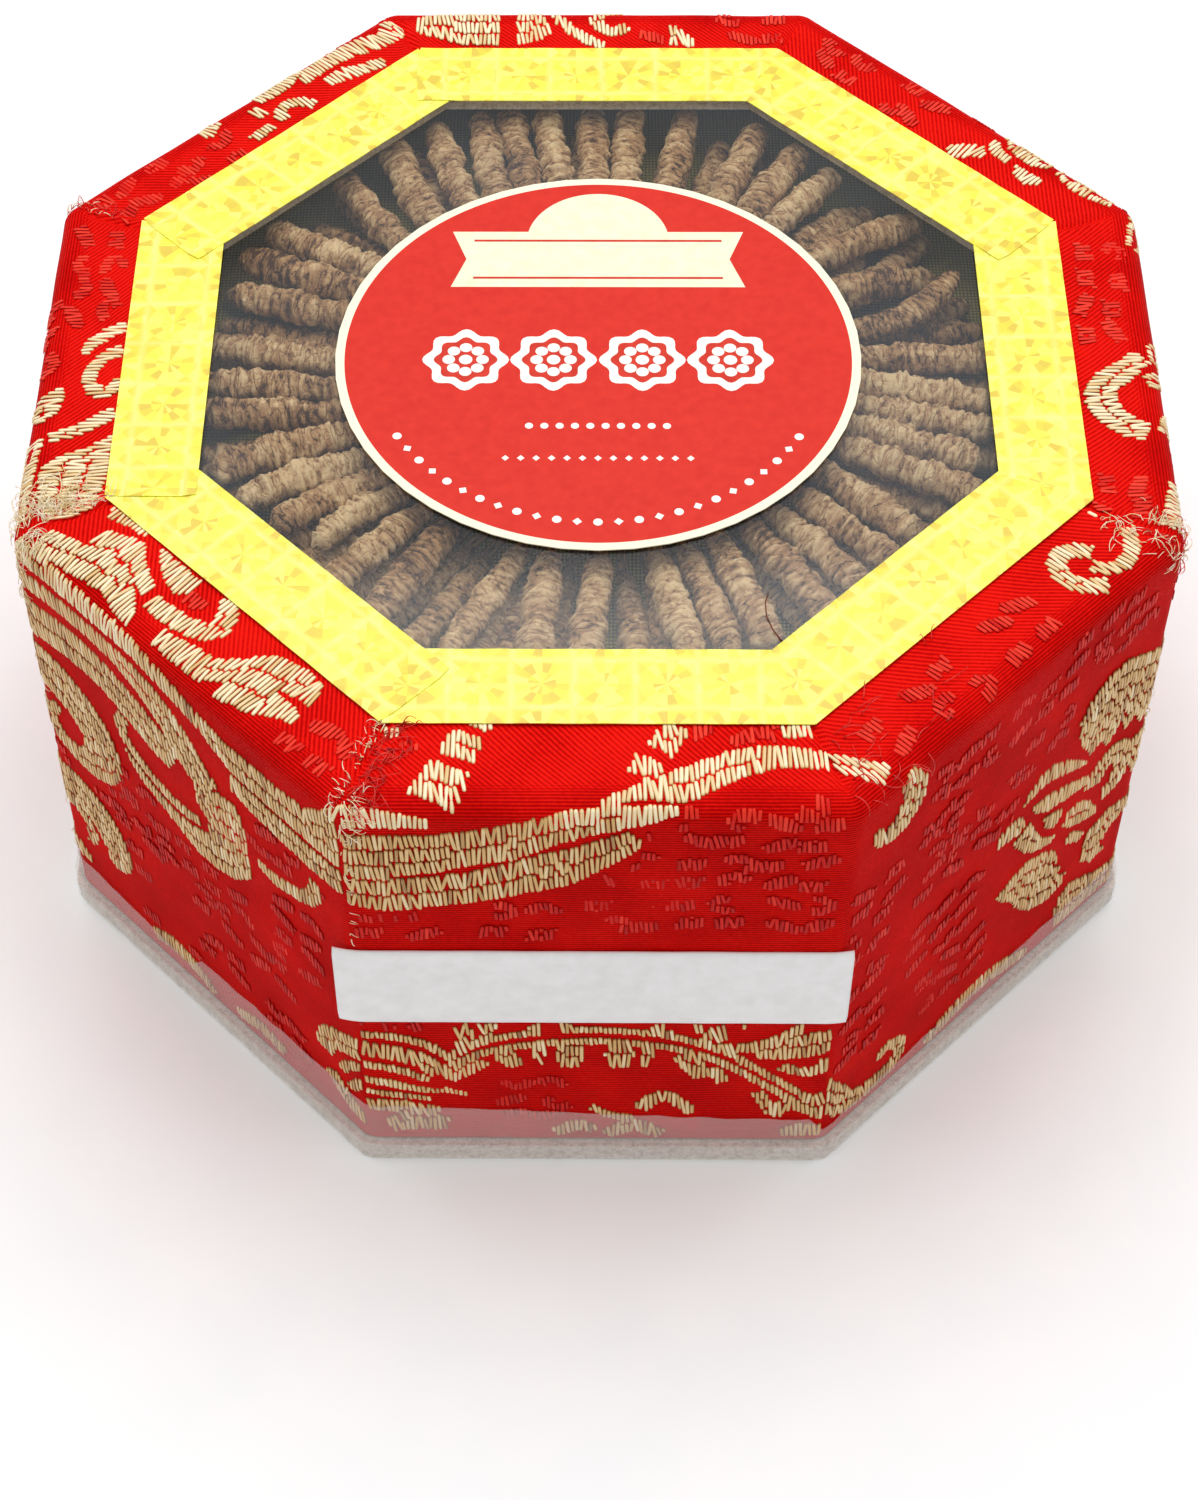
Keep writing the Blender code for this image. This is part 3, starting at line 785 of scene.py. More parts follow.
def float_tree():
    """Geometry Nodes: a thread float on each point, sized by the point's own attribute."""
    tree = bpy.data.node_groups.new("WovenFloats", "GeometryNodeTree")
    tree.interface.new_socket("Geometry", in_out="INPUT", socket_type="NodeSocketGeometry")
    tree.interface.new_socket("Float shape", in_out="INPUT", socket_type="NodeSocketObject")
    tree.interface.new_socket("Loft", in_out="INPUT", socket_type="NodeSocketFloat")
    tree.interface.new_socket("Floss", in_out="INPUT", socket_type="NodeSocketMaterial")
    tree.interface.new_socket("Geometry", in_out="OUTPUT", socket_type="NodeSocketGeometry")
    given = add(tree, "NodeGroupInput").outputs
    shape = add(tree, "GeometryNodeObjectInfo", {"Object": given["Float shape"]})
    size = add(tree, "GeometryNodeInputNamedAttribute", {"Name": "size"}, data_type="FLOAT_VECTOR")
    loft = add(tree, "ShaderNodeCombineXYZ", {0: 1.0, 1: 1.0, 2: given["Loft"]})
    scale = add(tree, "ShaderNodeVectorMath", {0: size.outputs[0], 1: loft.outputs[0]}, operation="MULTIPLY")
    tilt = add(tree, "GeometryNodeInputNamedAttribute", {"Name": "tilt"}, data_type="FLOAT_VECTOR")
    spread = add(tree, "GeometryNodeInstanceOnPoints", {"Points": given["Geometry"],
                 "Instance": shape.outputs["Geometry"], "Rotation": tilt.outputs[0],
                 "Scale": scale.outputs[0]})
    real = add(tree, "GeometryNodeRealizeInstances", {"Geometry": spread.outputs[0]})
    dressed = add(tree, "GeometryNodeSetMaterial", {"Geometry": real.outputs[0], "Material": given["Floss"]})
    add(tree, "NodeGroupOutput", {0: dressed.outputs[0]})
    return tree


def float_shape():
    """One float: a short plump pillow of thread, pinched at both ends, that reaches 1 each way."""
    sides = 6
    points, around = [(0.0, -1.0, -0.35)], np.arange(sides) * 2 * pi / sides
    for place, share in ((-0.93, 0.8), (-0.6, 1.0), (0.6, 1.0), (0.93, 0.8)):
        dip = 0.0 if abs(place) < 0.7 else -0.25
        points += [(share * cos(a), place, share * sin(a) + dip) for a in around]
    points.append((0.0, 1.0, -0.35))
    last = len(points) - 1
    faces = []
    for i in range(sides):
        j = (i + 1) % sides
        faces.append([0, 1 + i, 1 + j])
        faces.append([last, last - sides + j, last - sides + i])
        for ring in range(3):
            first = 1 + ring * sides
            faces.append([first + i, first + sides + i, first + sides + j, first + j])
    points = np.array(points)
    return piece("float_shape", points / MM, faces, bpy.data.materials.new("thread_guide"),
                 uv=("thread", points[:, :2] * 0.5 + 0.5), tidy=True)


def set_inputs(modifier, **values):
    """Sets a Geometry Nodes modifier's inputs by the sockets' identifiers."""
    for item in modifier.node_group.interface.items_tree:
        key = item.name.lower().replace(" ", "_")
        if item.in_out == "INPUT" and key in values:
            modifier[item.identifier] = values[key]


def weave(name, face, rows, tree, shape, floss, loft):
    """Turns rows of floats on the flat cloth into one mesh laid on a face of the box."""
    _, _, whole = face_half(apothem_at(np.array([row[1] for row in rows]))[0])
    rows = [row for row, limit in zip(rows, whole) if abs(row[0]) < limit - 0.3]
    flat = bpy.data.meshes.new("points")
    flat.from_pydata(np.array([(along, up, 0.09) for along, up, *_ in rows]).tolist(), [], [])
    slant = np.zeros((len(rows), 3))
    slant[:, 2] = np.random.default_rng(len(rows)).normal(0.06, 0.1, len(rows))
    give(flat, "size", [(wide, half, 1.0) for _, _, wide, half, _ in rows])
    give(flat, "tilt", slant)
    give(flat, "tone", [row[4] for row in rows])
    holder = bpy.data.objects.new("floats", flat)
    bpy.context.scene.collection.objects.link(holder)
    modifier = holder.modifiers.new("Woven floats", "NODES")
    modifier.node_group = tree
    set_inputs(modifier, float_shape=shape, loft=loft, floss=floss)
    bpy.context.view_layer.update()
    mesh = bpy.data.meshes.new_from_object(holder.evaluated_get(bpy.context.evaluated_depsgraph_get()))
    bpy.data.objects.remove(holder)
    co = np.empty(len(mesh.vertices) * 3, np.float32)
    mesh.vertices.foreach_get("co", co)
    along, up, off = co.reshape(-1, 3).astype(float).T
    laid = lay(face, along, up, np.maximum(off, -0.3))
    mesh.vertices.foreach_set("co", (laid * MM).astype(np.float32).ravel())
    mesh.shade_smooth()
    made = bpy.data.objects.new(f"{name}_{face}", mesh)
    bpy.context.scene.collection.objects.link(made)
    return made


def hair(path, radius, sides=4):
    """A thin tapering thread through (x, y, z) points: points and faces."""
    path = np.asarray(path, float)
    ahead = unit(np.gradient(path, axis=0))
    aside = unit(np.cross(ahead, [0.3, 0.2, 0.93]))
    thick = radius * np.linspace(1, 0.45, len(path))[:, None]
    around = np.arange(sides) * 2 * pi / sides
    return tube(path, ahead, aside, thick, around), capped_faces(len(path), sides)


def joined(parts):
    """Several (points, faces) lists as one."""
    points, faces, first = [], [], 0
    for some, quads in parts:
        points.append(np.asarray(some, float))
        faces += [[first + i for i in quad] for quad in quads]
        first += len(some)
    return np.concatenate(points), faces


def frayed(face, side, spread, inset, count, length, seed):
    """Loose thread ends that curl off the cloth beside a corner, between two heights."""
    random = np.random.default_rng(seed)
    low, high = spread
    parts = []
    for _ in range(count):
        up = random.uniform(low, high)
        _, _, whole = face_half(apothem_at(np.array(up))[0])
        start = side * (whole - abs(random.normal(0, inset)))
        heading = random.uniform(-1.3, 1.3)
        long = length * random.uniform(0.35, 1.15)
        curl = random.normal(0, 1.0)
        lift = random.uniform(0.1, 0.6) * random.uniform(0.3, 1.0)
        steps = np.linspace(0, 1, 8)
        turn = heading + curl * steps
        run = start - side * long * np.cumsum(np.cos(turn)) / len(steps)
        rise = up + long * np.cumsum(np.sin(turn)) / len(steps)
        off = 0.18 + long * lift * np.sin(steps * pi * 0.75)
        rise = np.minimum(rise, FRAYS_STOP)
        _, _, whole = face_half(apothem_at(rise)[0])
        run = np.clip(run, -whole, whole)
        parts.append(hair(lay(face, run, rise, off), random.uniform(0.05, 0.1)))
    return parts


# ---------------------------------------------------------------- the cloth's design

# Scrolls, ferns and peonies in mm: along from the middle of a face, then up the cloth. A band's
# stops add its half width, a "between" gives its upper and lower edges, and a "fill" its outline.
FRONT_WALL = (
    ("between", ((-31.0, 77.6, 74.6), (-26, 77, 74.6), (-20, 75.6, 74.6))),
    ("between", ((-34, 72.2, 64.2), (-28, 72.6, 64.6), (-20, 72.6, 65.7), (-15, 73.7, 67.3),
                 (-10, 75.1, 68.4), (-5, 76.5, 71.5), (-0.7, 77.3, 73.4), (4.3, 77.5, 75),
                 (9.9, 77.5, 77.1))),
    ("band", ((-34, 62.9, 2.6), (-31, 62.5, 2.6), (-26, 61, 2.8), (-20, 61.6, 2.4), (-15, 62.6, 2.5),
              (-10, 64.3, 2.6), (-5, 66.2, 2.8), (0, 69.2, 2.1), (4.8, 72.6, 1.3))),
    ("band", ((-8.4, 30.5, 0.8), (-6, 31.8, 1.3), (-2.9, 31.2, 0.8))),
    ("band", ((7, 30.2, 0.7), (10, 31.8, 1.3), (14, 31.2, 0.9))),
    ("band", ((13.5, 27.5, 0.6), (16, 30, 1.4), (19, 32.6, 0.9))),
    ("band", ((16, 26.8, 0.8), (21, 27, 1), (25, 28.5, 1.6), (28, 30.8, 2), (31, 32.2, 1.6))),
    ("band", ((21, 25, 0.7), (25, 25.5, 1.1), (29, 27, 1.4), (31.5, 29, 1.2))),
    ("band", ((24.5, 22.5, 0.8), (27, 21, 0.9), (30, 22, 0.9), (30, 24.5, 0.6))),
    ("band", ((-12.5, 26, 1.1), (-11.5, 24, 1.3), (-10.5, 22, 0.8))),
    ("fill", ((-8, 22.5), (-7, 22.5), (-6.6, 27), (-8.2, 27))),
    ("fill", ((-4.6, 21.8), (-2.2, 21.8), (-1.4, 25), (-1.8, 27.2), (-5, 27.2), (-5.4, 24.5))),
    ("fill", ((1.9, 21.8), (4.4, 21.8), (5.1, 25), (4.7, 28.2), (1.5, 28.2), (1.2, 25))),
    ("fill", ((6, 22), (7.3, 22), (7.6, 27), (6.1, 27))),
    ("band", ((11, 25, 0.9), (12.8, 22.5, 1.5), (14.2, 19.4, 0.9))),
    ("band", ((15.6, 22, 0.8), (17, 18.3, 0.8))),
    ("band", ((21.6, 16.2, 0.8), (23.2, 12, 0.8))),
    ("band", ((-34, 29.4, 0.6), (-31, 29.5, 0.6), (-26, 29, 0.7), (-22, 27, 0.7), (-19, 24, 0.6))),
    ("band", ((-34, 28, 1.2), (-30, 26, 1.4), (-26, 25, 1.4), (-22, 22.5, 1.4), (-20.5, 20, 1.1))),
    ("band", ((-34, 22.5, 0.6), (-29, 22, 0.7), (-25, 20.5, 0.7), (-22, 18.5, 0.6))),
    ("band", ((-33, 19, 0.6), (-28, 18, 0.7), (-24, 16.5, 0.7), (-21, 16, 0.5))),
    ("band", ((-32, 16, 0.5), (-27, 15, 0.6), (-22, 14, 0.5))),
    ("fill", ((-18.2, 26), (-16.6, 26), (-15.8, 30), (-16.6, 33), (-18.4, 31))),
    ("fill", ((-15.2, 28.4), (-13.4, 28.4), (-12.8, 32.4), (-15, 32.6))),
    ("band", ((-20, 19, 1.2), (-17.5, 22, 1.8), (-15, 24, 1.3))),
    ("band", ((-20.5, 16.5, 0.6), (-17, 15.3, 0.5))),
    ("band", ((-31, 12.5, 1.1), (-26, 12, 1.3), (-21, 11, 0.9))),
    ("band", ((-28, 7, 1.4), (-24, 8.5, 1.9), (-20, 7.5, 1.4))),
    ("band", ((6, 11.5, 0.9), (7.5, 14, 1), (9.5, 15, 1), (11.5, 13, 1), (13, 10.5, 0.8))),
    ("band", ((-0.5, 12.2, 0.6), (2, 10, 0.7), (5, 9.5, 0.6))),
    ("band", ((-5.5, 5.4, 0.8), (-2, 7.5, 1.2), (0, 6, 0.7))),
    ("band", ((1.5, 5, 0.9), (5, 7.5, 1.4), (9, 5.2, 1))),
    ("band", ((23.5, 10, 1), (26, 13, 1.3), (29, 12, 1.3), (31, 9.5, 0.9))),
    ("fill", ((25, 4.8), (32, 4.8), (32, 7.8), (28, 8.4), (25.4, 7.2))),
)
ABOVE_STRIP = ("band", ((-4.6, 49.7, 0.8), (-1.6, 50.1, 1.3), (2.2, 49.8, 0.8)))
STEM = ((-20, 22.3), (-15.7, 26.2), (-10, 28.4), (-5, 29.3), (0.4, 29.6), (6, 29), (10.4, 27.9),
        (14.9, 25.7), (19.3, 22.3), (22.7, 19), (26.6, 15.1), (30.4, 11.2))
FRONT_RIM = (
    ("band", ((-20, 78, 2.4), (-18.6, 81, 2.2), (-17.6, 83.4, 2.0))),
    ("band", ((-17.2, 84.4, 1.9), (-16, 87.2, 1.7), (-15.4, 88.4, 1.5))),
    ("band", ((-14.9, 89, 1.4), (-13.8, 91, 1.3))),
    ("band", ((0.5, 78, 0.4), (5, 79.5, 1), (10, 80.5, 2), (15, 83, 1.8), (20, 84.6, 1.6),
              (25, 84.6, 1.2), (29, 83.7, 1.1), (33, 81.8, 1))),
    ("band", ((4.9, 81.6, 1.4), (6.6, 84.6, 1.5))),
    ("band", ((7.2, 85.6, 1.5), (9.9, 89.6, 1.3))),
    ("band", ((-31, 84.6, 0.9), (-27.5, 87.4, 1.2), (-24, 88.4, 0.9))),
    ("band", ((22, 88.6, 0.8), (26, 88.9, 1.0), (30, 88.2, 0.8))),
)
FRONT_QUIET = ((-1, 32, 53, 76), (-30, -22, 51, 58), (-14, -5, 51, 58), (-31, -22, 84, 88),
               (10, 31, 86.5, 90), (-30, -14, 30, 33), (24, 31, 76, 81), (-13, -3, 8, 20))

# Where the front has its paper strip, the other walls show these.
UNCOVERED_QUIET = ((-31, -17, 36, 48), (-14, 0, 37, 49), (3, 16, 36, 48), (18, 31, 37, 49))

FRONT_LEFT_WALL = (
    ("between", ((-34, 77.4, 74.2), (-31, 77.2, 74.2), (-20, 77, 74.1), (-8, 76.6, 73.8),
                 (-0.7, 75.1, 71.8), (4.9, 73.2, 70.1), (10.4, 71.6, 66.9), (14.9, 71.8, 66.5),
                 (19.9, 71.8, 66.3), (24.9, 72.3, 66.1), (27, 74, 66), (30.4, 77.3, 66),
                 (32.5, 77, 66.4))),
    ("between", ((10, 65.9, 62.6), (14.9, 65.4, 61.4), (24.9, 64.6, 60.4), (33, 64.8, 60.6))),
    ("band", ((-34, 70.2, 1.3), (-31, 70.4, 1.4), (-21, 71, 1.4), (-15, 70.9, 1.5), (-10, 70.1, 1.7),
              (-5, 68, 2.3), (-1, 65, 2.6), (2, 61, 2.8), (5, 58, 2.2))),
    ("band", ((-34, 62.5, 2.6), (-31, 62.8, 2.8), (-21, 64, 2.8), (-15, 63.4, 2.8), (-10, 61.5, 2.8),
              (-5, 58.9, 2.7), (-2, 57.2, 2.0))),
    ("fill", ((2.1, 57.3), (6, 59), (10.4, 59.6), (11.4, 57), (11.8, 54), (12.1, 49.6), (11.6, 45.1),
              (8.2, 41.5), (4.3, 40.1), (0.4, 40.4), (-2.9, 42.1), (-6.2, 44), (-9.6, 45.7),
              (-11.8, 47.9), (-13.2, 51.2), (-11, 49.5), (-8, 47.5), (-4, 46), (0, 46), (3.5, 47.5),
              (4.2, 50), (2.1, 52.5))),
    ("band", ((-11.8, 58, 0.8), (-13, 55.5, 0.9), (-12, 52.5, 0.9), (-9, 50, 0.9), (-5, 48.3, 0.9),
              (-1, 47.7, 0.9), (2, 48.5, 0.7))),
    ("band", ((25.2, 57.9, 0.6), (24.9, 55.1, 1), (23.2, 52.6, 1.1), (20.4, 51.2, 1.1),
              (17.1, 50.4, 1.1), (13.8, 50.9, 0.8))),
    ("band", ((-33, 53.6, 3), (-26, 52.5, 3.6), (-21, 49.5, 3.6), (-19, 45, 3.2), (-20, 40.5, 2.8),
              (-24, 38.4, 1.8), (-28.5, 39.8, 1.3), (-29.7, 43.6, 1), (-27.5, 46.4, 0.7))),
    ("band", ((-33, 28, 3.2), (-27, 28.5, 3), (-23, 26.5, 3), (-20.5, 23, 2.8), (-20, 19, 2.2),
              (-21.5, 16.5, 0.9))),
    ("band", ((-32.3, 23.4, 0.9), (-28.4, 23.8, 0.9), (-26, 21.9, 0.9), (-25.4, 19, 0.8),
              (-26.4, 16.8, 0.6))),
    ("fill", ((-33, 15.6), (-29, 14.8), (-27, 12.5), (-27, 11), (-33, 10.6))),
    ("band", ((23.2, 17.9, 1.2), (24.9, 22.3, 1.7), (29.3, 24.6, 1.8), (34, 27.3, 1.8))),
    ("band", ((26.4, 16.4, 0.6), (29, 20, 0.7), (34, 22.5, 0.7))),
    ("band", ((28, 13.4, 0.6), (30.4, 16.8, 0.7), (34, 18.8, 0.7))),
    ("band", ((24, 13.6, 1.1), (28, 9.4, 1.4), (33, 7.4, 1.2))),
    ("band", ((-14, 7.2, 1.1), (-9, 8.8, 1.5), (-4, 7.4, 1.2), (-1, 5.2, 0.8))),
    ("band", ((4, 6, 0.9), (9, 7.6, 1.3), (14, 6.6, 1.1))),
)
FRONT_LEFT_RIM = (
    ("between", ((-27.9, 80.7, 77.8), (-22.9, 82, 78), (-19.6, 83.2, 78.3), (-15.7, 83.2, 79),
                 (-11.8, 81, 78), (-9, 79, 77.7))),
    ("between", ((-22.9, 85.7, 83), (-19.6, 87, 83.9), (-17.3, 87.9, 84.2), (-15.1, 85.7, 83.4),
                 (-11, 83.8, 82))),
    ("band", ((-10, 82, 1.1), (-6, 82.3, 1.2), (-3, 82.7, 1.2), (-0.5, 84.5, 1.2), (-0.8, 87, 1.2),
              (-3, 89.3, 1))),
    ("fill", ((-16, 89), (-13.4, 86.4), (-9, 84.6), (-7.3, 86), (-7.3, 89))),
    ("between", ((-5, 80.1, 78), (-1, 80.8, 78), (3.8, 81.8, 78), (8.2, 87.3, 81.4),
                 (12.7, 88.4, 84.4), (16, 88, 84.8), (17, 86.4, 85))),
    ("between", ((7, 79.9, 78), (12, 83.2, 79), (16, 83.4, 81.4), (17.4, 82.6, 81.8))),
    ("band", ((-25, 88, 0.8), (-22, 89, 1), (-18.4, 89.4, 0.8))),
)
FRONT_LEFT_QUIET = ((15, 26, 40, 50), (15, 27, 32, 39), (-16, -5, 36, 43), (-15, 13, 32, 39),
                    (-24, -3, 29, 34), (-2, 8, 25, 32), (9, 21, 23, 31), (-16, -9, 20, 27),
                    (-2, 8, 14, 23), (-16, -2, 9, 15), (13, 28, 53, 59), (-31, -14, 31, 37),
                    (18, 28, 78, 87), (-8, 3, 84, 89), (10, 22, 10, 20))

FRONT_RIGHT_WALL = (
    ("band", ((-22.1, 76.4, 1.2), (-20.9, 74.3, 1.6), (-20.5, 71.8, 1.9), (-21.5, 69.4, 1.9),
              (-23.6, 67.6, 1.7), (-26, 68.2, 1.3), (-27.3, 70.5, 0.6))),
    ("band", ((-34, 19.6, 2), (-30, 13.5, 2), (-26.2, 8.4, 1.8), (-20.7, 7.3, 1.5), (-16.8, 8.2, 1.3),
              (-15.7, 10.7, 1.1), (-17.3, 13.4, 1), (-19.3, 14.2, 0.8), (-20.4, 12.3, 0.7))),
    ("fill", ((14.1, 55.1), (16.2, 58.6), (19.3, 60.7), (23, 60.9), (27, 58.7), (31, 56.8), (32, 45.4),
              (29, 42.5), (27.5, 45.4), (25.5, 43.5), (24, 47), (22, 43.4), (20, 46), (18, 44.9),
              (15.2, 49.5))),
    ("fill", ((3.8, 46.2), (4.9, 48.4), (7.1, 50.7), (9.9, 50.9), (13.2, 48.7), (16, 46.2),
              (18.4, 43.2), (14.3, 44.6), (11, 46.2), (8.2, 47.1))),
    ("fill", ((6, 44.2), (9.3, 44.4), (13.2, 42.9), (17.1, 41.2), (19.2, 39.8), (18.8, 37.9),
              (14.9, 38.5), (10.4, 39.6), (7.7, 41.4))),
    ("fill", ((-0.7, 42.3), (0.4, 44.6), (3.6, 45), (5.6, 42.3), (4.6, 40.2), (2.1, 40.7),
              (-0.4, 40.9))),
    ("band", ((5, 40, 1.5), (7, 36.2, 1.4), (9.5, 33.2, 1), (13, 31.2, 0.6))),
    ("fill", ((9.6, 38.9), (13.5, 37.8), (14, 35.7), (12.5, 33.8), (10.6, 35.6))),
    ("fill", ((14.9, 35), (17.5, 35.5), (20, 33.5), (22.5, 30), (22.6, 27.8), (20.5, 28.4), (17, 30),
              (14.8, 32))),
    ("band", ((16.5, 27.8, 0.9), (19, 26, 0.9), (20, 24.7, 0.6))),
    ("band", ((20, 36, 1.5), (21.5, 39, 1.7), (24, 40.2, 1.7), (26.2, 38.5, 1.6), (26.8, 35, 1.6),
              (25.6, 32.2, 1.5), (23.2, 31.7, 1.3))),
    ("band", ((29.4, 40, 1.3), (30.2, 35.6, 1.4), (31, 31, 1.2))),
    ("fill", ((1.5, 28.4), (4.5, 30.3), (8, 31.2), (12, 29.6), (14.6, 27), (15.4, 24), (14.6, 23.2),
              (16.6, 21.6), (16, 20.4), (18, 18.6), (17.5, 16), (14, 15.2), (10, 17), (7.5, 20),
              (5.5, 23.5), (3, 26))),
    ("fill", ((21.2, 24.6), (24, 25.3), (26, 26.3), (31, 25), (31, 21.9), (27.5, 20.8), (25.5, 18),
              (27.5, 15.7), (24, 15.1), (21.6, 17.5), (21.1, 21))),
    ("fill", ((17, 10.2), (18, 13.2), (20, 14.4), (22.5, 13.2), (26, 11.2), (32, 10.2), (32, 5),
              (18, 5))),
    ("band", ((-10, 5.2, 0.9), (-4, 7.4, 1.5), (2, 8.4, 1.6), (8, 6.8, 1.3), (12, 5.4, 0.8))),
)
FRONT_RIGHT_RIM = (
    ("band", ((-30.7, 87.3, 1), (-27.9, 84, 1.1), (-25.7, 80.4, 1.2), (-24.4, 78, 1.2))),
    ("band", ((20.2, 83.4, 0.9), (18.8, 85.6, 1.1), (16.6, 86.1, 1.1), (14.7, 84, 1.1),
              (15.1, 81, 1.1), (17.6, 78.6, 1))),
    ("band", ((18.4, 82.4, 0.8), (19.8, 80.2, 0.9), (22.1, 79.6, 0.9), (25, 81, 0.9),
              (26.8, 83.4, 0.9))),
    ("band", ((25.5, 88.6, 0.9), (28.4, 86.2, 1.4))),
)
FRONT_RIGHT_QUIET = ((-18, 8, 64, 74), (-18, -7, 56, 65), (9, 23, 64, 76), (-30, -20, 48, 62),
                     (-17, 2, 44, 56), (-31, -20, 34, 46), (-18, -3, 28, 42), (-30, -18, 19, 33),
                     (-14, 2, 14, 27), (-14, -2, 78, 88), (0, 12, 78, 88), (24, 31, 64, 74),
                     (-22, -16, 78, 88), (2, 12, 54, 62))

LEFT_RIM = (
    ("band", ((-2.5, 88, 0.9), (-1, 85.5, 0.9), (1, 84.2, 0.9), (4, 84, 0.9), (5.5, 85.2, 0.9),
              (5, 87, 0.9), (3, 88.2, 0.8))),
    ("band", ((-7, 88, 0.8), (-5.5, 85.5, 0.9), (-3, 83.2, 0.8), (-1.6, 82.6, 0.6))),
    ("band", ((9, 88, 0.8), (11, 85.5, 0.9), (13, 82, 0.8), (14, 79.5, 0.7))),
    ("fill", ((13, 88.3), (16, 84), (17, 81.5), (19, 79), (24, 79), (28.4, 80.5), (28.6, 84), (26, 87),
              (20, 88.3))),
    ("fill", ((4.4, 80.5), (6.5, 81.2), (9.5, 80.3), (11.5, 77.8), (9, 75.7), (6.5, 77.2))),
    ("band", ((14, 77.4, 1.4), (20, 76.4, 1.8), (28, 76.2, 1.6))),
)
LEFT_QUIET = ((-26, -18, 79, 87), (-17, -8, 79, 87), (-12, 2, 76, 80))
BACK_LEFT_RIM = (
    ("band", ((-22, 85.4, 0.9), (-19, 84.4, 1), (-16, 83.3, 1.2), (-13, 82.9, 0.9))),
    ("band", ((-29, 79, 1.3), (-27, 81.6, 1.5), (-24, 81, 1.5), (-21, 80, 1.4), (-17, 79.5, 1.3),
              (-13, 79.6, 1.2), (-10.5, 80.6, 0.7))),
    ("band", ((-12, 77.6, 0.8), (-8, 78.6, 1.2), (-3, 78.6, 1))),
    ("band", ((-8.5, 85.5, 0.8), (-7.5, 83.5, 0.8), (-5.5, 82.5, 0.8), (-3.5, 83.3, 0.8),
              (-3, 85, 0.7))),
    ("fill", ((-1.6, 83.5), (3, 83.8), (2.6, 85.7), (-1, 85.5))),
    ("band", ((-1.5, 79.5, 0.8), (-1.5, 82.4, 0.8))),
    ("band", ((4.2, 78, 0.9), (7.5, 79.4, 1))),
)
BACK_LEFT_QUIET = ((14, 27, 78, 86), (5, 13, 80, 86))
BACK_RIM = (
    ("fill", ((-14.5, 86), (-10.5, 85.5), (-10.3, 80.5), (-12.5, 81.3), (-14, 84))),
    ("band", ((-4.4, 81, 0.8), (-2, 82.4, 0.9), (0, 80.5, 0.9), (-0.6, 77.8, 0.8), (-3.8, 76.6, 0.7))),
    ("band", ((-1, 85.8, 0.8), (2.5, 83.2, 0.9), (5.2, 80.2, 0.8), (6, 78, 0.7))),
    ("fill", ((6.5, 82.2), (9, 84.8), (12, 85.6), (12, 77.2), (8.4, 77.2))),
    ("fill", ((14.2, 85.6), (20, 85.4), (26.4, 83), (27, 79), (22, 77.4), (14.2, 77.2))),
)
BACK_QUIET = ((-28, -18, 78, 86), (-10, -4, 82, 87))
BACK_RIGHT_RIM = (
    ("band", ((-28, 77.6, 1.3), (-23, 78, 1.9), (-18.6, 77.4, 1.5))),
    ("fill", ((-18.7, 82.6), (-17, 84), (-14.4, 83.6), (-13.6, 81.6), (-15.6, 81.2), (-18, 81.3))),
    ("fill", ((-16.4, 76), (-17.6, 79), (-15, 80.4), (-11, 80.2), (-8.5, 78), (-9.6, 75.4))),
    ("band", ((-12, 81.6, 0.7), (-9.6, 81.4, 0.8), (-8, 79.6, 0.6))),
    ("band", ((-8.6, 82.4, 1), (-7, 84, 1.1), (-4.5, 86.3, 1))),
)
BACK_RIGHT_QUIET = ((1, 12, 78, 86), (14, 24, 78, 86))
RIGHT_RIM = (
    ("band", ((-12.5, 79.5, 1.2), (-11.5, 82, 1.5), (-9.5, 84, 1.6), (-6.5, 85.2, 1.8),
              (-3.5, 84.3, 1.6), (-1.5, 82, 1.5), (0.4, 80, 1.3), (1.5, 78.7, 1.2))),
    ("fill", ((-11.8, 75), (-12.2, 78.6), (-9, 77.6), (-7.4, 75))),
    ("fill", ((0.6, 75), (0.4, 78), (4, 78.4), (5.8, 75))),
    ("band", ((-3.4, 79, 1), (-1.6, 76, 1))),
    ("band", ((23, 77.8, 1), (26, 76.6, 1.6), (29.5, 76, 1.2))),
    ("band", ((-29, 79, 0.9), (-25, 77.4, 1.4), (-21, 76.6, 1))),
)
RIGHT_QUIET = ((4, 14, 80, 88), (-29, -17, 80, 88), (15, 27, 79, 88))


def below_rim(figures, top=74.0):
    """Wall figures that stay clear of a rim with a design of its own."""
    kept = []
    for kind, stops in figures:
        if max(stop[1] for stop in stops) < top:
            kept.append((kind, stops))
    return kept


def mirrored(figures):
    """Figures turned over, left for right."""
    turned = []
    for kind, stops in figures:
        flipped = tuple((-stop[0],) + tuple(stop[1:]) for stop in stops)
        turned.append((kind, flipped if kind == "fill" else flipped[::-1]))
    return turned


def mirrored_patches(patches):
    """Quiet patches turned over, left for right, less those on the rim."""
    return [(-right, -left, low, high) for left, right, low, high in patches if high < 78]


def stem_rows():
    """The arching stem: a bare red line between two thin gold rows."""
    rows = []
    for shift in (1.35, -1.35):
        rows.append(("band", tuple((along, up + shift, 0.62) for along, up in STEM)))
    rows.append(("band", ((28.7, 12.8, 1), (31, 14.4, 1.4), (34, 15.4, 1.4))))
    return rows


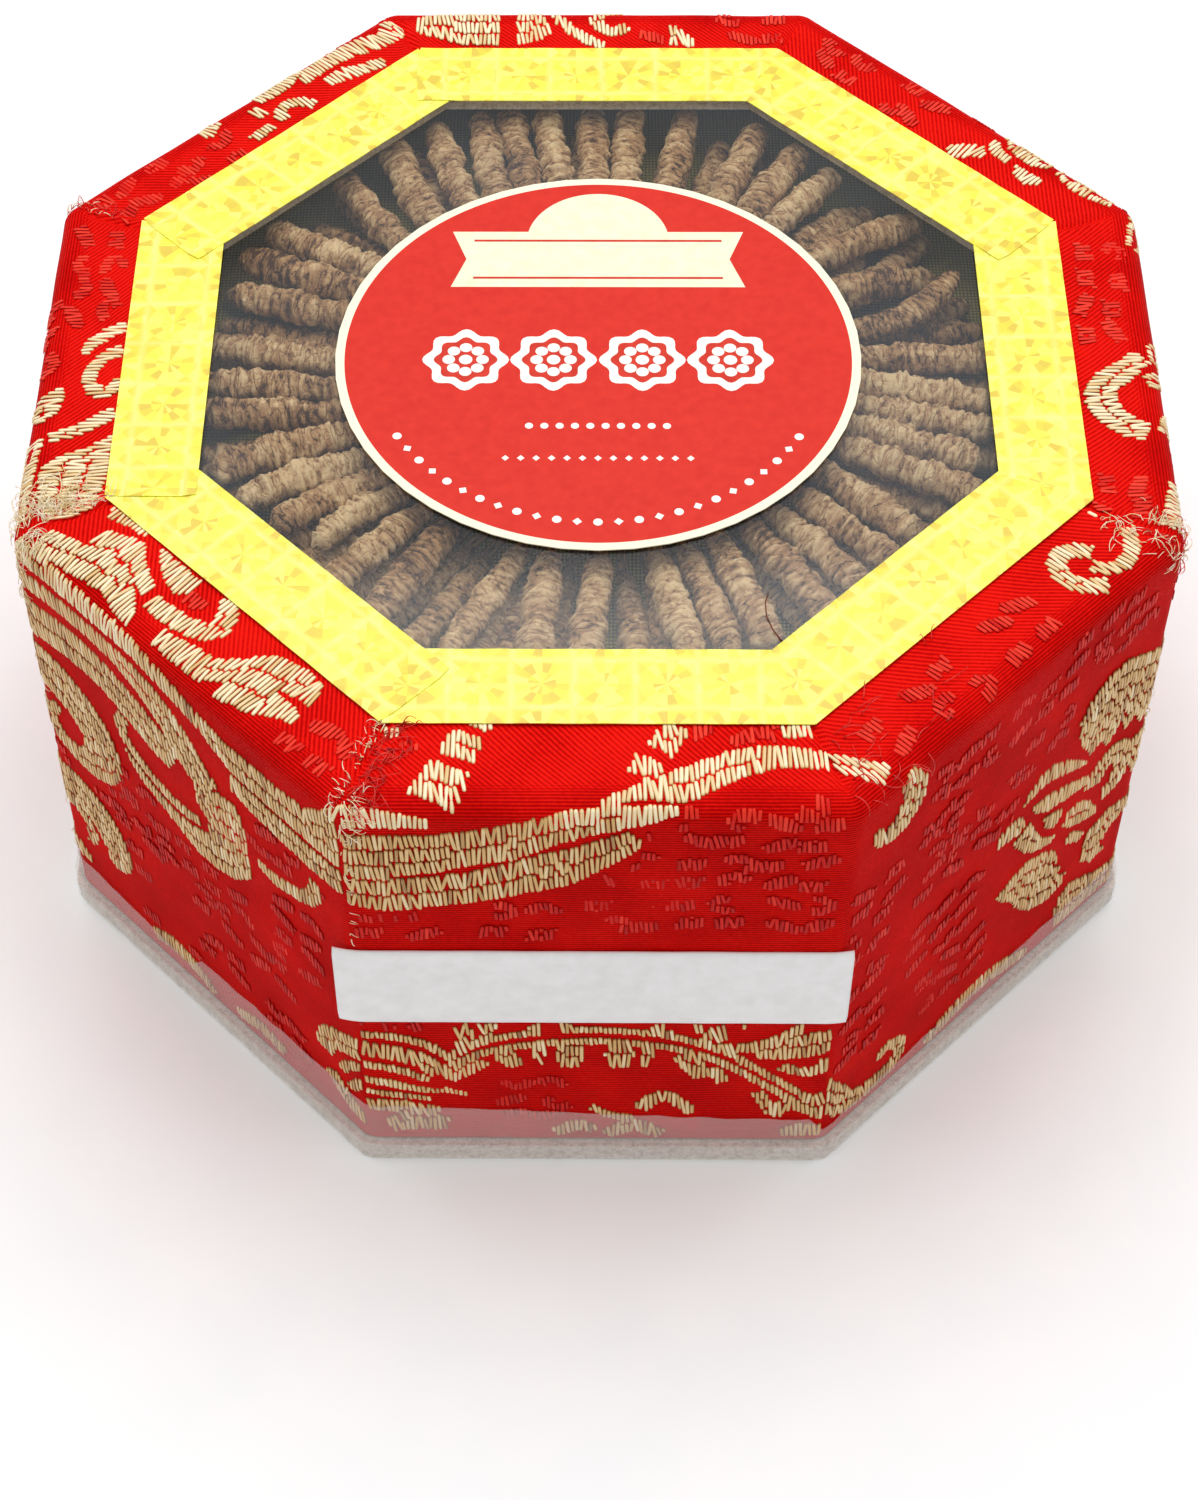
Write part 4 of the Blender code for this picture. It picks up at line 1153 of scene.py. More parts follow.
def designs():
    """Each face's (wall figures, rim figures, quiet patches)."""
    front = list(FRONT_WALL) + stem_rows()
    front_turned = below_rim(mirrored(front))
    left_turned = below_rim(mirrored(FRONT_LEFT_WALL))
    right_turned = below_rim(mirrored(FRONT_RIGHT_WALL))
    front_plain = mirrored_patches(FRONT_QUIET + UNCOVERED_QUIET)
    left_plain = mirrored_patches(FRONT_LEFT_QUIET)
    right_plain = mirrored_patches(FRONT_RIGHT_QUIET)
    return {
        "front": (front + [ABOVE_STRIP], FRONT_RIM, FRONT_QUIET),
        "front_left": (FRONT_LEFT_WALL, FRONT_LEFT_RIM, FRONT_LEFT_QUIET),
        "front_right": (FRONT_RIGHT_WALL, FRONT_RIGHT_RIM, FRONT_RIGHT_QUIET),
        # Turned over, each neighbour's figures run on round its corner; only the back left corner is a seam.
        "right": (right_turned, RIGHT_RIM, list(RIGHT_QUIET) + right_plain),
        "back_right": (front_turned, BACK_RIGHT_RIM, list(BACK_RIGHT_QUIET) + front_plain),
        "back": (left_turned, BACK_RIM, list(BACK_QUIET) + left_plain),
        "back_left": (front_turned, BACK_LEFT_RIM, list(BACK_LEFT_QUIET) + front_plain),
        "left": (left_turned, LEFT_RIM, list(LEFT_QUIET) + left_plain),
    }


# What the paper strip covers of each face that it touches, from left to right.
STRIP_COVERS = {"front": (-HALF_FACE, HALF_FACE), "front_right": (-HALF_FACE, -28.5),
                "front_left": (28, HALF_FACE)}


def under_strip(face, along, up, half):
    """Whether a float would lie under the paper strip."""
    left, right = STRIP_COVERS.get(face, (0, 0))
    return left < along < right and up + half > STRIP_LOW[2] - 0.2 and up - half < STRIP_HIGH[2] + 0.2


def crowded(row, taken):
    """Whether a float would lie over one of those already there."""
    along, up, wide, half, _ = row
    for other_along, other_up, other_wide, other_half, _ in taken:
        beside = abs(along - other_along) < wide + other_wide + 0.1
        if beside and abs(up - other_up) < half + other_half + 0.1:
            return True
    return False


# Face, which end of it, heights between, spread in from the corner, how many, how long.
GOLD_FRAYS = (
    ("left", 1, (76, 84), 3.2, 120, 3.6),
    ("left", 1, (80, 90), 1.6, 50, 3.0),
    ("front_left", -1, (76, 80), 1.6, 60, 3.2),
    ("front_left", -1, (66, 77), 0.5, 30, 2.4),
    ("front_left", -1, (10, 66), 0.4, 22, 1.6),
    ("front_left", 1, (76, 90), 0.5, 42, 1.8),
    ("front", -1, (73, 79), 0.9, 34, 2.6),
    ("front", -1, (50, 74), 0.3, 16, 1.4),
    ("front_right", 1, (22, 60), 0.3, 14, 1.6),
    ("front_right", 1, (74, 86), 1.8, 54, 3.0),
    ("right", -1, (73, 82), 1.4, 44, 2.8),
    ("back_left", 1, (74, 82), 0.8, 18, 1.8),
)
RED_FRAYS = (
    ("front", -1, (78, 90), 1.6, 60, 3.4),
    ("front", -1, (76, 84), 2.4, 26, 3.8),
    ("front_left", 1, (77, 90), 0.6, 24, 1.8),
    ("back_left", 1, (76, 84), 0.9, 20, 2.2),
    ("right", -1, (74, 82), 1.0, 14, 2.2),
    ("front_right", 1, (70, 82), 0.8, 18, 2.4),
    ("front_right", -1, (77, 88), 9.0, 34, 4.6),
)


def loose_thread(name, low, high):
    """Broken ends of floss: fine, shiny and a little uneven."""
    made, tree, shader = finish_named(name, Roughness=0.4)
    place = add(tree, "ShaderNodeTexCoord").outputs["Object"]
    patchy = add(tree, "ShaderNodeTexNoise", {"Vector": place, "Scale": 900.0})
    colour = add(tree, "ShaderNodeValToRGB", {"Fac": patchy.outputs["Fac"]}, stops=[(0.35, low), (0.6, high)])
    put(tree, shader, Base_Color=colour.outputs[0])
    return made


# ---------------------------------------------------------------- tapes, foil and labels


# Foil strips with one end cut square and lapped over the next: 1 for the right end, -1 for the left.
LAPPED = {1: 1, 2: 1, 3: 1, 4: 1, 8: -1}


def foil_strip(number, finish):
    """One length of foil tape over the window's edge, its ends lapped over or under the next."""
    lapped = LAPPED.get(number, 0)
    angle = radians(45 * number + 45)
    square = (FOIL_INNER + FOIL_WIDTH) * tan(pi / 8)
    columns, rows = 40, 7
    points, uvs = [], []
    for raised in (0.13, 0.0):
        for t in np.linspace(0, 1, columns):
            for j in range(rows):
                across = FOIL_INNER + FOIL_WIDTH * j / (rows - 1)
                half = across * tan(pi / 8)
                # A lapped end is cut square, and the others follow the mitre under it.
                left = -square if lapped < 0 else -half - 0.3
                right = square if lapped > 0 else half + 0.3
                along = left + (right - left) * t
                if t in (0, 1) and j in (0, rows - 1):  # blunt corners
                    along += 0.35 * (1 if t < 0.5 else -1)
                over = max(0.0, along * lapped - (half - 0.5))
                lift = 0.17 * min(1.0, over) - 0.05 * (abs(along) > half - 0.6 and not over)
                ripple = 0.035 * sin(along * 0.7 + number * 2) * sin(across * 0.9 + number)
                x = across * cos(angle) - along * sin(angle)
                y = across * sin(angle) + along * cos(angle) + BACK
                points.append((x, y, FOIL_FOOT + 0.05 + raised + lift + ripple))
                uvs.append((along + 31 * number, across))
    made = piece(f"foil_tape_{number}", points, closed_sheet(columns, rows), finish, uv=("tape", uvs),
                 tidy=True)
    made.data.set_sharp_from_angle(angle=radians(40))
    return made


def disc(x, y, reach, count, turn=0.0):
    """A circle's outline, or a diamond's with a count of four."""
    angles = np.arange(count) * 2 * pi / count + turn
    return [(x + reach * cos(a), y + reach * sin(a)) for a in angles]


def rosette(x, y, reach):
    """A rounded eight-lobed rosette's outline."""
    outline = []
    for a in np.arange(64) * 2 * pi / 64:
        lobe = reach * (1 + 0.09 * cos(8 * a))
        outline.append((x + lobe * cos(a), y + lobe * sin(a)))
    return outline


def label_prints():
    """(name, finish, shapes) of each colour printed on the round label. The banner stays blank."""
    ink = 0.012  # each colour prints this much above the last

    def flat(outline, level):
        """A shape of ink, from its outline round the label's middle."""
        return slab([(x, y + BACK) for x, y in outline], LABEL_TOP + 0.004 + ink * level,
                    LABEL_TOP + 0.012 + ink * level)

    dome = [(9.8 * cos(a), 22 + 9.8 * sin(a)) for a in np.linspace(0.02, pi - 0.02, 40)]
    banner = [(-20, 13), (20, 13), (18.0, 18.5), (20, 24), (9.9, 24), (-9.9, 24), (-20, 24), (-18.0, 18.5)]
    creams = [flat(dome, 0), flat(banner, 1)]
    whites, reds = [], []
    # A row of four rosettes, each with a ring of eight dots round one more.
    for x in (-17.6, -5.9, 5.9, 17.6):
        y = -1.0
        whites.append(flat(rosette(x, y, 5.3), 0))
        reds.append(flat(rosette(x, y, 3.9), 1))
        for a in np.arange(8) * pi / 4:
            whites.append(flat(disc(x + 2.25 * cos(a), y + 2.25 * sin(a), 0.85, 14), 2))
        whites.append(flat(disc(x, y, 0.9, 18), 2))
    # Two rows of beads and diamonds, and an arc of both along the foot.
    for i in range(10):
        whites.append(flat(disc(-9 + 2 * i, -13.2, 0.55, 10), 0))
    for i in range(13):
        whites.append(flat(disc(-12 + 2 * i, -19.0, 0.5, 4), 0))
    for i in range(25):
        a = radians(210 + 5 * i)
        whites.append(flat(disc(30.2 * cos(a), 30.2 * sin(a), 0.62, 4 if i % 2 else 12, turn=a), 0))
    for low in (14.6, 22.0):
        reds.append(flat([(-17, low), (17, low), (17, low + 0.4), (-17, low + 0.4)], 2))
    return (
        ("label_cream_print", printed("cream_ink", "#F3EBCB", "#FBF5DA"), creams),
        ("label_white_print", printed("white_ink", "#F4F1EA", "#FFFDF6"), whites),
        ("label_red_print", printed("red_ink", "#C92A18", "#DC3A26"), reds),
    )


def paper_strip():
    """Blank paper, pasted level over the front. Its stiff ends spring a little way past both corners."""
    low, high = STRIP_LOW[2], STRIP_HIGH[2]
    thick = -STRIP_LOW[1] - WALL
    (stuck,), _, _ = face_half(np.array([WALL]))
    spring = 13.0  # radius of the bend at its ends
    columns, rows = 120, 12
    points = []
    for off in (thick - 0.02, thick * 0.25):
        for along in np.linspace(*STRIP_ENDS, columns):
            for share in np.linspace(0, 1, rows):
                ease = 0.12 * (share in (0.0, 1.0)) * (along in STRIP_ENDS)  # its corners are a little blunt
                run = along - ease * np.sign(along)
                ripple = 0.02 * sin(run * 0.55) * sin(3 * share + run * 0.13) - 0.02
                turn = max(0.0, abs(run) - stuck) / spring
                across = min(abs(run), stuck) + spring * sin(turn)
                outward = WALL + off + ripple - spring * (1 - cos(turn))
                points.append((across * np.sign(run), -outward, low + (high - low) * share))
    return piece("paper_strip", points, closed_sheet(columns, rows), plain_paper(), tidy=True)


# The clear tape's upper edge on each face, as (along, height).
TAPE_EDGE = {
    "front": ((-32, 12.5), (-12, 11.6), (4, 10.4), (18, 9.6), (32, 9.3)),
    "front_left": ((-32, 10.5), (-20, 9.2), (-5, 7.5), (-4.2, 11.6), (8, 12.2), (32, 12.5)),
    "front_right": ((-32, 6.5), (-10, 7.8), (10, 9), (32, 9.5)),
    "right": ((-32, 9.5), (0, 11), (32, 10)),
    "back_right": ((-32, 10), (0, 9.4), (32, 11)),
    "back": ((-32, 11), (0, 11.8), (32, 10.8)),
    "back_left": ((-32, 10.8), (0, 10.2), (32, 11.4)),
    "left": ((-32, 11.4), (0, 10.8), (32, 10.5)),
}


def seal_tape():
    """Clear tape round the foot of the walls, lapped over the base board's edge."""
    ledge, reach = BASE_HIGH[2] + 0.3, BASE_HIGH[0] - WALL
    film = 0.1  # thicker than real tape, so that both its sides are clear of each other
    spans = 33
    rings = []
    for face in FACES:
        places, heights = zip(*TAPE_EDGE[face])
        whole = face_half(np.array([WALL]))[2][0]
        for t in np.linspace(-1, 1, spans, endpoint=False):
            along = float(t * whole)
            top = float(np.interp(along, places, heights))
            top += 0.12 * sin(along * 0.9) + 0.08 * sin(along * 2.3 + 1)
            # The tape's place on the wall, 0.3 mm off the cloth, and the way outwards there.
            near, far = (lay(face, np.array(along), np.array(MID_WALL), np.array(off)) for off in (0.3, 1.3))
            out = (far - near)[:2]
            ripple = 0.05 * sin(along * 0.8 + FACES[face]) + 0.03 * sin(along * 2.1)
            middle = (top + ledge) / 2
            # Down the wall, out over the base board and down its side, then back along the other face.
            section = (
                (0, top), (0, middle), (0, ledge + 0.6), (0.45, ledge), (reach, ledge), (reach, 0.6),
                (reach + film, 0.6), (reach + film, ledge + film), (0.5, ledge + film), (film, ledge + 0.7),
                (film, middle), (film, top),
            )
            ring = []
            for off, z in section:
                push = off + (ripple if z > ledge + 0.3 else 0)
                ring.append((near[0] + out[0] * push, near[1] + out[1] * push, z))
            rings.append(ring)
    faces = []
    sides = len(rings[0])
    for i in range(len(rings)):
        first, after = i * sides, (i + 1) % len(rings) * sides
        for j in range(sides):
            k = (j + 1) % sides
            faces.append([first + j, after + j, after + k, first + k])
    made = piece("foot_tape", np.array(rings).reshape(-1, 3), faces, clear_tape(), tidy=True)
    made.data.set_sharp_from_angle(angle=radians(50))
    return made


def silk_cushion():
    """The padded insert that fills the box: silk over a block, crowned on top."""
    reach, _, high = CUSHION_HIGH
    low = CUSHION_LOW[2]
    loops = [(0.96, low), (1.0, low + 2.5), (1.0, high - 6), (0.985, high - 3.2), (0.955, high - 1.4),
             (0.9, high - 0.5)]
    loops += [(share, high - 0.35 * share**2) for share in (0.8, 0.68, 0.55, 0.42, 0.28, 0.14)]
    points = []
    for share, z in loops:
        ring = octagon(reach * share, min(5.0, reach * share * 0.3))
        dents = np.abs(wave(ring, 77, 14.0))
        for (x, y), dent in zip(ring, dents):
            if z > high - 3:  # the crown dips, and the sides draw in
                points.append((x, y, z - 0.2 * dent))
            else:
                points.append((x * (1 - 0.0012 * dent), y * (1 - 0.0012 * dent), z))
    count = len(points) // len(loops)
    faces = grid_faces(len(loops), count, closed=True)
    faces.append(list(range(count))[::-1])
    last = (len(loops) - 1) * count
    faces += [[last + i, last + (i + 1) % count, len(points)] for i in range(count)]
    points.append((0, 0, high))
    return piece("silk_cushion", points, faces, gold_silk(), tidy=True)


# ---------------------------------------------------------------- cordyceps


def centreline(name, stations=26):
    """A cordyceps node's (x, y, z, radius) stops from tail to stalk, by slicing it across its length."""
    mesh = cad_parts[name].data
    co = np.array([v.co for v in mesh.vertices]) / MM
    ends = np.array([edge.vertices[:] for edge in mesh.edges])
    reach = np.hypot(co[:, 0], co[:, 1] - BACK)
    far, near = co[np.argmax(reach)], co[np.argmin(reach)]
    way = (near - far)[:2]
    whole = np.linalg.norm(way)
    way /= whole
    place = (co[:, :2] - far[:2]) @ way
    stops = []
    for cut in np.linspace(0.25, whole - 0.25, stations):
        start, end = place[ends[:, 0]], place[ends[:, 1]]
        hit = (start < cut) != (end < cut)
        share = ((cut - start[hit]) / (end[hit] - start[hit]))[:, None]
        ring = co[ends[hit, 0]] * (1 - share) + co[ends[hit, 1]] * share
        middle = (ring.min(0) + ring.max(0)) / 2
        stops.append((*middle, (ring[:, 2].max() - ring[:, 2].min()) / 2))
    return split_at_head(np.array(stops))


def split_at_head(stops):
    """The body's stops and the stalk's, which begins inside the head."""
    reach = np.hypot(stops[:, 0], stops[:, 1] - BACK)
    head = int(np.argmax(reach < HEAD_AT))
    return stops[:head], stops[head - 1:]


def pattern_start(seed):
    """Where a body begins in the husk's pattern, so that no two look alike."""
    return 37.0 * seed % 1000


def spine(body, rings_per_mm, seed):
    """From a body's tail to its head: distance along it at each ring, its middle and its thickness."""
    length = run_along(body[:, :3])
    total = length[-1] + 1.0  # the head reaches 1 mm over the stalk
    run = np.linspace(0, total, int(total * rings_per_mm))
    line = np.column_stack([np.interp(run, length, body[:, i]) for i in range(3)])
    beyond = run > length[-1]
    line[beyond] = body[-1, :3] + (run[beyond] - length[-1])[:, None] * unit(body[-1, :3] - body[-2, :3])
    for _ in range(3):  # the stops' corners smoothed out
        line[1:-1] = (line[:-2] + 2 * line[1:-1] + line[2:]) / 4
    thick = np.interp(run, length, body[:, 3])
    for share in (run / 1.7, (total - run) / 1.2):  # closed round at both ends
        thick *= np.sqrt(1 - (1 - np.clip(share, 0, 1)) ** 2)
    thick *= 1 + 0.09 * wave(run[:, None], seed + 5, 9.0) + 0.05 * wave(run[:, None], seed + 6, 4.0)
    return run, line, thick


# Where along a body each pair of legs stands, from tail to head, and how large it is.
LEGS = ((0.06, 0.6), (0.40, 1), (0.48, 1), (0.56, 1), (0.64, 0.9), (0.80, 0.45), (0.86, 0.45), (0.92, 0.4))


def husk(stops, seed, look, sides=20, rings_per_mm=4.6):
    """A wrinkled body with legs: points, faces, and each point's crest, tone and pattern place."""
    random = np.random.default_rng(seed)
    wrinkle, lumps, tone, legs, pinch = look
    run, line, thick = spine(stops[0], rings_per_mm, seed)
    ahead = unit(np.gradient(line, axis=0))
    aside = unit(np.stack([-ahead[:, 1], ahead[:, 0], 0 * run], axis=1))
    around = np.arange(sides) * 2 * pi / sides
    s, a = np.meshgrid(run, around, indexing="ij")
    spot = np.stack([s, 2.2 * np.cos(a), 2.2 * np.sin(a)], axis=-1)
    spacing = random.uniform(1.1, 1.5)
    phase = s / spacing + 0.22 * np.sin(a + random.uniform(0, 6)) + 0.1 * np.sin(2 * a + random.uniform(0, 6))
    phase += 0.42 * wave(spot, seed + 1, 5.0)
    ridge = (0.5 + 0.5 * np.cos(2 * pi * phase)) ** 0.7
    ridge = 0.6 + (ridge - 0.6) * np.clip(0.75 + 0.5 * wave(spot, seed + 8, 4.5), 0.1, 1.4)
    fine = 0.5 + 0.5 * np.cos(2 * pi * (phase * 2.9 + 0.35 * wave(spot, seed + 2, 2.5)))
    rough = wave(spot, seed + 3, 2.2, 14)
    big = wave(spot, seed + 4, 6.0)
    relief = wrinkle * (ridge - 0.6) + 0.3 * wrinkle * (fine - 0.5) + lumps * (0.5 * rough + 0.6 * big)
    # Four pairs of stubby legs in the middle, three small pairs by the head and one at the tail.
    roll = random.choice([-1.15, -0.6, 0.6, 1.15, 2.6]) - pi / 2
    bumps = 0 * s
    for place, size in LEGS:
        for side in (-0.52, 0.52):
            turn = (a - roll - side + pi) % (2 * pi) - pi
            bumps += size * np.exp(-((s - place * run[-1]) / 0.5) ** 2 - (turn / 0.3) ** 2)
    relief += legs * bumps
    # A furrow down the back, and sides sunk in by drying.
    turn = (a - roll) % (2 * pi) - pi
    relief -= pinch * np.exp(-((turn / 0.28) ** 2))
    relief -= 0.5 * pinch * np.exp(-(((np.abs(turn) - 1.5) / 0.4) ** 2))
    swell = thick[:, None] * (1 + relief / 2.2 * np.minimum(1, thick[:, None] / 1.2))
    points = tube(line, ahead, aside, swell, around, 1.05, 0.95)
    # Painted highlight and shade: crest makes ridges and legs lighter and the grooves between them darker.
    crest = 0.55 * (ridge - 0.5) + 0.22 * (fine - 0.5) + 0.18 * rough + 0.9 * bumps
    shade = np.full(s.shape, tone) + 0.10 * wave(spot, seed + 7, 8.0) - 0.12 * (run[:, None] / run[-1] > 0.93)
    # The ends close on a point each.
    faces = grid_faces(len(run), sides, closed=True)
    last = len(points)
    points = np.concatenate([points, [line[0] - 0.05 * ahead[0], line[-1] + 0.05 * ahead[-1]]])
    for i in range(sides):
        j = (i + 1) % sides
        faces.append([last, j, i])
        faces.append([last + 1, last - sides + i, last - sides + j])
    crest = np.append(crest.ravel(), [0, 0])
    shade = np.append(shade.ravel(), [tone, tone])
    spot = spot.reshape(-1, 3) + (pattern_start(seed), 0, 0)
    spot = np.concatenate([spot, spot[:1], spot[-1:]])
    return points, faces, crest, shade, spot


def stalk(stops, seed, tone):
    """The thin fruiting stalk from the head in under the label, ridged along its length."""
    random = np.random.default_rng(seed)
    path = stops[1][:, :3]
    length = run_along(path)
    run = np.linspace(0, length[-1], 22)
    line = np.column_stack([np.interp(run, length, path[:, i]) for i in range(3)])
    radius = np.interp(run, length, np.minimum(stops[1][:, 3], 0.85))
    sway = 0.25 * wave(run[:, None], seed, 12.0) * np.sin(run / run[-1] * pi)
    ahead = unit(np.gradient(line, axis=0))
    aside = np.stack([-ahead[:, 1], ahead[:, 0], 0 * run], axis=1)
    line += aside * sway[:, None]
    sides = 10
    around = np.arange(sides) * 2 * pi / sides
    flute = 0.12 * np.cos(5 * around + random.uniform(0, 6))
    flute = flute + 0.05 * wave(run[:, None], seed + 1, 3.0)[:, None]
    thick = radius[:, None] * (1 + flute)
    thick[0] *= 0.6
    thick[-1] *= 0.4
    points = tube(line, ahead, aside, thick, around)
    # Painted highlight and shade along the stalk: five lighter stripes, with darker ones between.
    crest = np.tile(0.3 * np.cos(5 * around), len(run))
    s, a = np.meshgrid(run, around, indexing="ij")
    spot = np.stack([0.3 * s + pattern_start(seed), 2.5 * np.cos(a), 2.5 * np.sin(a)], axis=-1).reshape(-1, 3)
    return points, capped_faces(len(run), sides), crest, np.full(len(crest), tone - 0.16), spot


# How a body dried: wrinkle height, lumpiness, tone, leg size and furrow depth, in millimetres.
SMOOTH_DARK = (0.16, 0.10, -0.22, 0.25, 0.12)
ROUGH_DARK = (0.32, 0.26, -0.16, 0.45, 0.22)
USUAL = (0.34, 0.2, -0.04, 0.5, 0.18)
RIDGED = (0.44, 0.2, 0.0, 0.5, 0.2)
KNOBBLY_PALE = (0.42, 0.28, 0.09, 0.6, 0.22)
# Bodies of the top layer that dried otherwise than most, by their number.
LOOKS = {
    1: USUAL, 3: RIDGED, 5: SMOOTH_DARK, 6: SMOOTH_DARK, 8: KNOBBLY_PALE, 9: KNOBBLY_PALE, 10: KNOBBLY_PALE,
    12: RIDGED, 15: ROUGH_DARK, 18: KNOBBLY_PALE, 20: RIDGED, 22: SMOOTH_DARK, 24: KNOBBLY_PALE,
    26: KNOBBLY_PALE, 28: ROUGH_DARK, 31: ROUGH_DARK, 32: SMOOTH_DARK, 33: RIDGED, 35: RIDGED, 38: ROUGH_DARK,
    41: RIDGED,
}


def husk_piece(name, parts, finish):
    """Bodies and stalks as one piece, with what their finish reads."""
    points, faces = joined([part[:2] for part in parts])
    crest, tone, spot = (np.concatenate([part[i] for part in parts]) for i in (2, 3, 4))
    made = piece(name, points, faces, finish, attributes={"crest": crest, "tone": tone, "spot": spot})
    clean(made.data, merge=0)
    return made


# A lower body's thickness along it, from tail to head, and its stalk's radius by distance.
LOWER_TAPER = ((0, 0.5), (0.05, 0.82), (0.15, 1), (0.4, 1), (0.65, 0.96), (0.85, 0.84), (0.97, 0.62))
LOWER_STALK = ((30, 0.8), (26, 0.64), (23, 0.5))


def lower_stops(number, count, random):
    """Stops of a body that lies flat on the cushion, and of its stalk, with a little disorder."""
    angle = radians(360 * number / count + random.uniform(-3, 3) + 4)
    reach, radius = random.uniform(53, 59), random.uniform(1.65, 1.95)
    swing = radians(random.uniform(-5, 5))
    z = BED_FOOT + 0.1 + radius * 1.05
    stops = []
    for part, share in LOWER_TAPER:
        far = reach + (31.0 - reach) * part
        turn = angle + swing * (1 - part) ** 2
        stops.append((far * cos(turn), BACK + far * sin(turn), z, radius * share))
    for far, thick in LOWER_STALK:
        stops.append((far * cos(angle), BACK + far * sin(angle), z, thick))
    return split_at_head(np.array(stops))


# ---------------------------------------------------------------- operators


class GiftBoxCover(bpy.types.PropertyGroup):
    pucker: bpy.props.FloatProperty(
        name="Pucker", description="How far the glued cloth ripples off the board",
        default=0.09 * MM, min=0.0, unit="LENGTH",
    )
    float_length: bpy.props.FloatProperty(
        name="Longest float", description="Longest thread float in the gold figures",
        default=3.0 * MM, min=1 * MM, unit="LENGTH",
    )
    float_pitch: bpy.props.FloatProperty(
        name="Float pitch", description="Distance between neighbouring floats",
        default=0.62 * MM, min=0.3 * MM, unit="LENGTH",
    )
    gold: bpy.props.FloatVectorProperty(
        name="Gold floss", description="Colour of the gold figures",
        default=linear("#E6B870")[:3], subtype="COLOR",
    )


class GiftBoxFilling(bpy.types.PropertyGroup):
    lower_count: bpy.props.IntProperty(
        name="Lower layer", description="Cordyceps laid under the top layer", default=60, min=0, max=80,
    )
    seed: bpy.props.IntProperty(name="Seed", description="Changes how each body dried", default=7)
    husk: bpy.props.FloatVectorProperty(
        name="Husk", description="Colour of the dried bodies between their ridges and creases",
        default=linear("#B48656")[:3], subtype="COLOR",
    )


class GiftBoxStage(bpy.types.PropertyGroup):
    lens: bpy.props.FloatProperty(
        name="Lens", description="Camera's focal length", default=73.66, unit="CAMERA",
    )
    lamp: bpy.props.FloatProperty(
        name="Overhead lamp", description="Power of the soft box overhead", default=16.0, min=0.0,
        unit="POWER",
    )


class GIFTBOX_OT_stage(bpy.types.Operator):
    """Floor, soft light and camera"""

    bl_idname = "giftbox.stage"
    bl_label = "Stage"

    def execute(self, context):
        settings = context.scene.gift_box_stage
        spots = [(x, y, 0) for y in (-FLOOR_REACH, 0, FLOOR_REACH) for x in (-FLOOR_REACH, FLOOR_REACH)]
        floor = piece("floor", spots, grid_faces(3, 2), studio_floor(), smooth=False, tidy=True)
        for polygon in floor.data.polygons:
            if polygon.normal.z < 0:
                polygon.flip()

        world = bpy.data.worlds.new("soft_room")
        world.use_nodes = True
        room = world.node_tree.nodes["Background"].inputs
        room["Color"].default_value = linear("#F6F5F2")
        room["Strength"].default_value = 0.52
        context.scene.world = world
        lamps = (  # name, watts, metres across, where it hangs and where it aims
            ("overhead", settings.lamp, 1.4, (0.0, 0.35, 1.3), (0, 0.35, 0.0)),
            ("front_fill", 0.5, 0.9, (-0.5, -1.1, 0.75), (0, 0, 0.04)),
        )
        for name, power, size, place, aim in lamps:
            lamp = bpy.data.lights.new(name, "AREA")
            lamp.energy, lamp.size = power, size
            holder = bpy.data.objects.new(name, lamp)
            holder.location = place
            holder.rotation_euler = (Vector(aim) - Vector(place)).to_track_quat("-Z", "Y").to_euler()
            context.scene.collection.objects.link(holder)

        camera = bpy.data.cameras.new("camera")
        camera.sensor_fit, camera.sensor_height = "VERTICAL", 36.0
        camera.lens = settings.lens
        camera.shift_x, camera.shift_y = CAMERA_SHIFT
        camera.clip_start, camera.clip_end = 0.01, 20
        pitch, yaw, roll = radians(CAMERA_PITCH), radians(CAMERA_YAW), radians(CAMERA_ROLL)
        ahead = Vector((sin(yaw) * cos(pitch), cos(yaw) * cos(pitch), -sin(pitch)))
        right = Vector((cos(yaw), -sin(yaw), 0))
        up = right.cross(ahead)
        across = cos(roll) * right + sin(roll) * up
        above = -sin(roll) * right + cos(roll) * up
        holder = bpy.data.objects.new("camera", camera)
        turn = Matrix((across, above, -ahead)).transposed().to_4x4()
        holder.matrix_world = Matrix.Translation(Vector(CAMERA_AT) * MM) @ turn
        context.scene.collection.objects.link(holder)
        context.scene.camera = holder
        context.scene.view_settings.view_transform = "Standard"
        return {"FINISHED"}


class GIFTBOX_OT_boards(bpy.types.Operator):
    """Greyboard base, walls and top"""

    bl_idname = "giftbox.boards"
    bl_label = "Boards"

    def execute(self, context):
        board = grey_pulp_board()
        for node in ("base_board", "wall_board", "top_board"):
            coat(node, board)
        return {"FINISHED"}


class GIFTBOX_OT_cover(bpy.types.Operator):
    """Brocade cloth over the walls and rim"""

    bl_idname = "giftbox.cover"
    bl_label = "Brocade cloth"

    def execute(self, context):
        cover = make_cover(context.scene.gift_box_cover)
        fix(cover, "red_brocade", "brocade_cover")
        return {"FINISHED"}


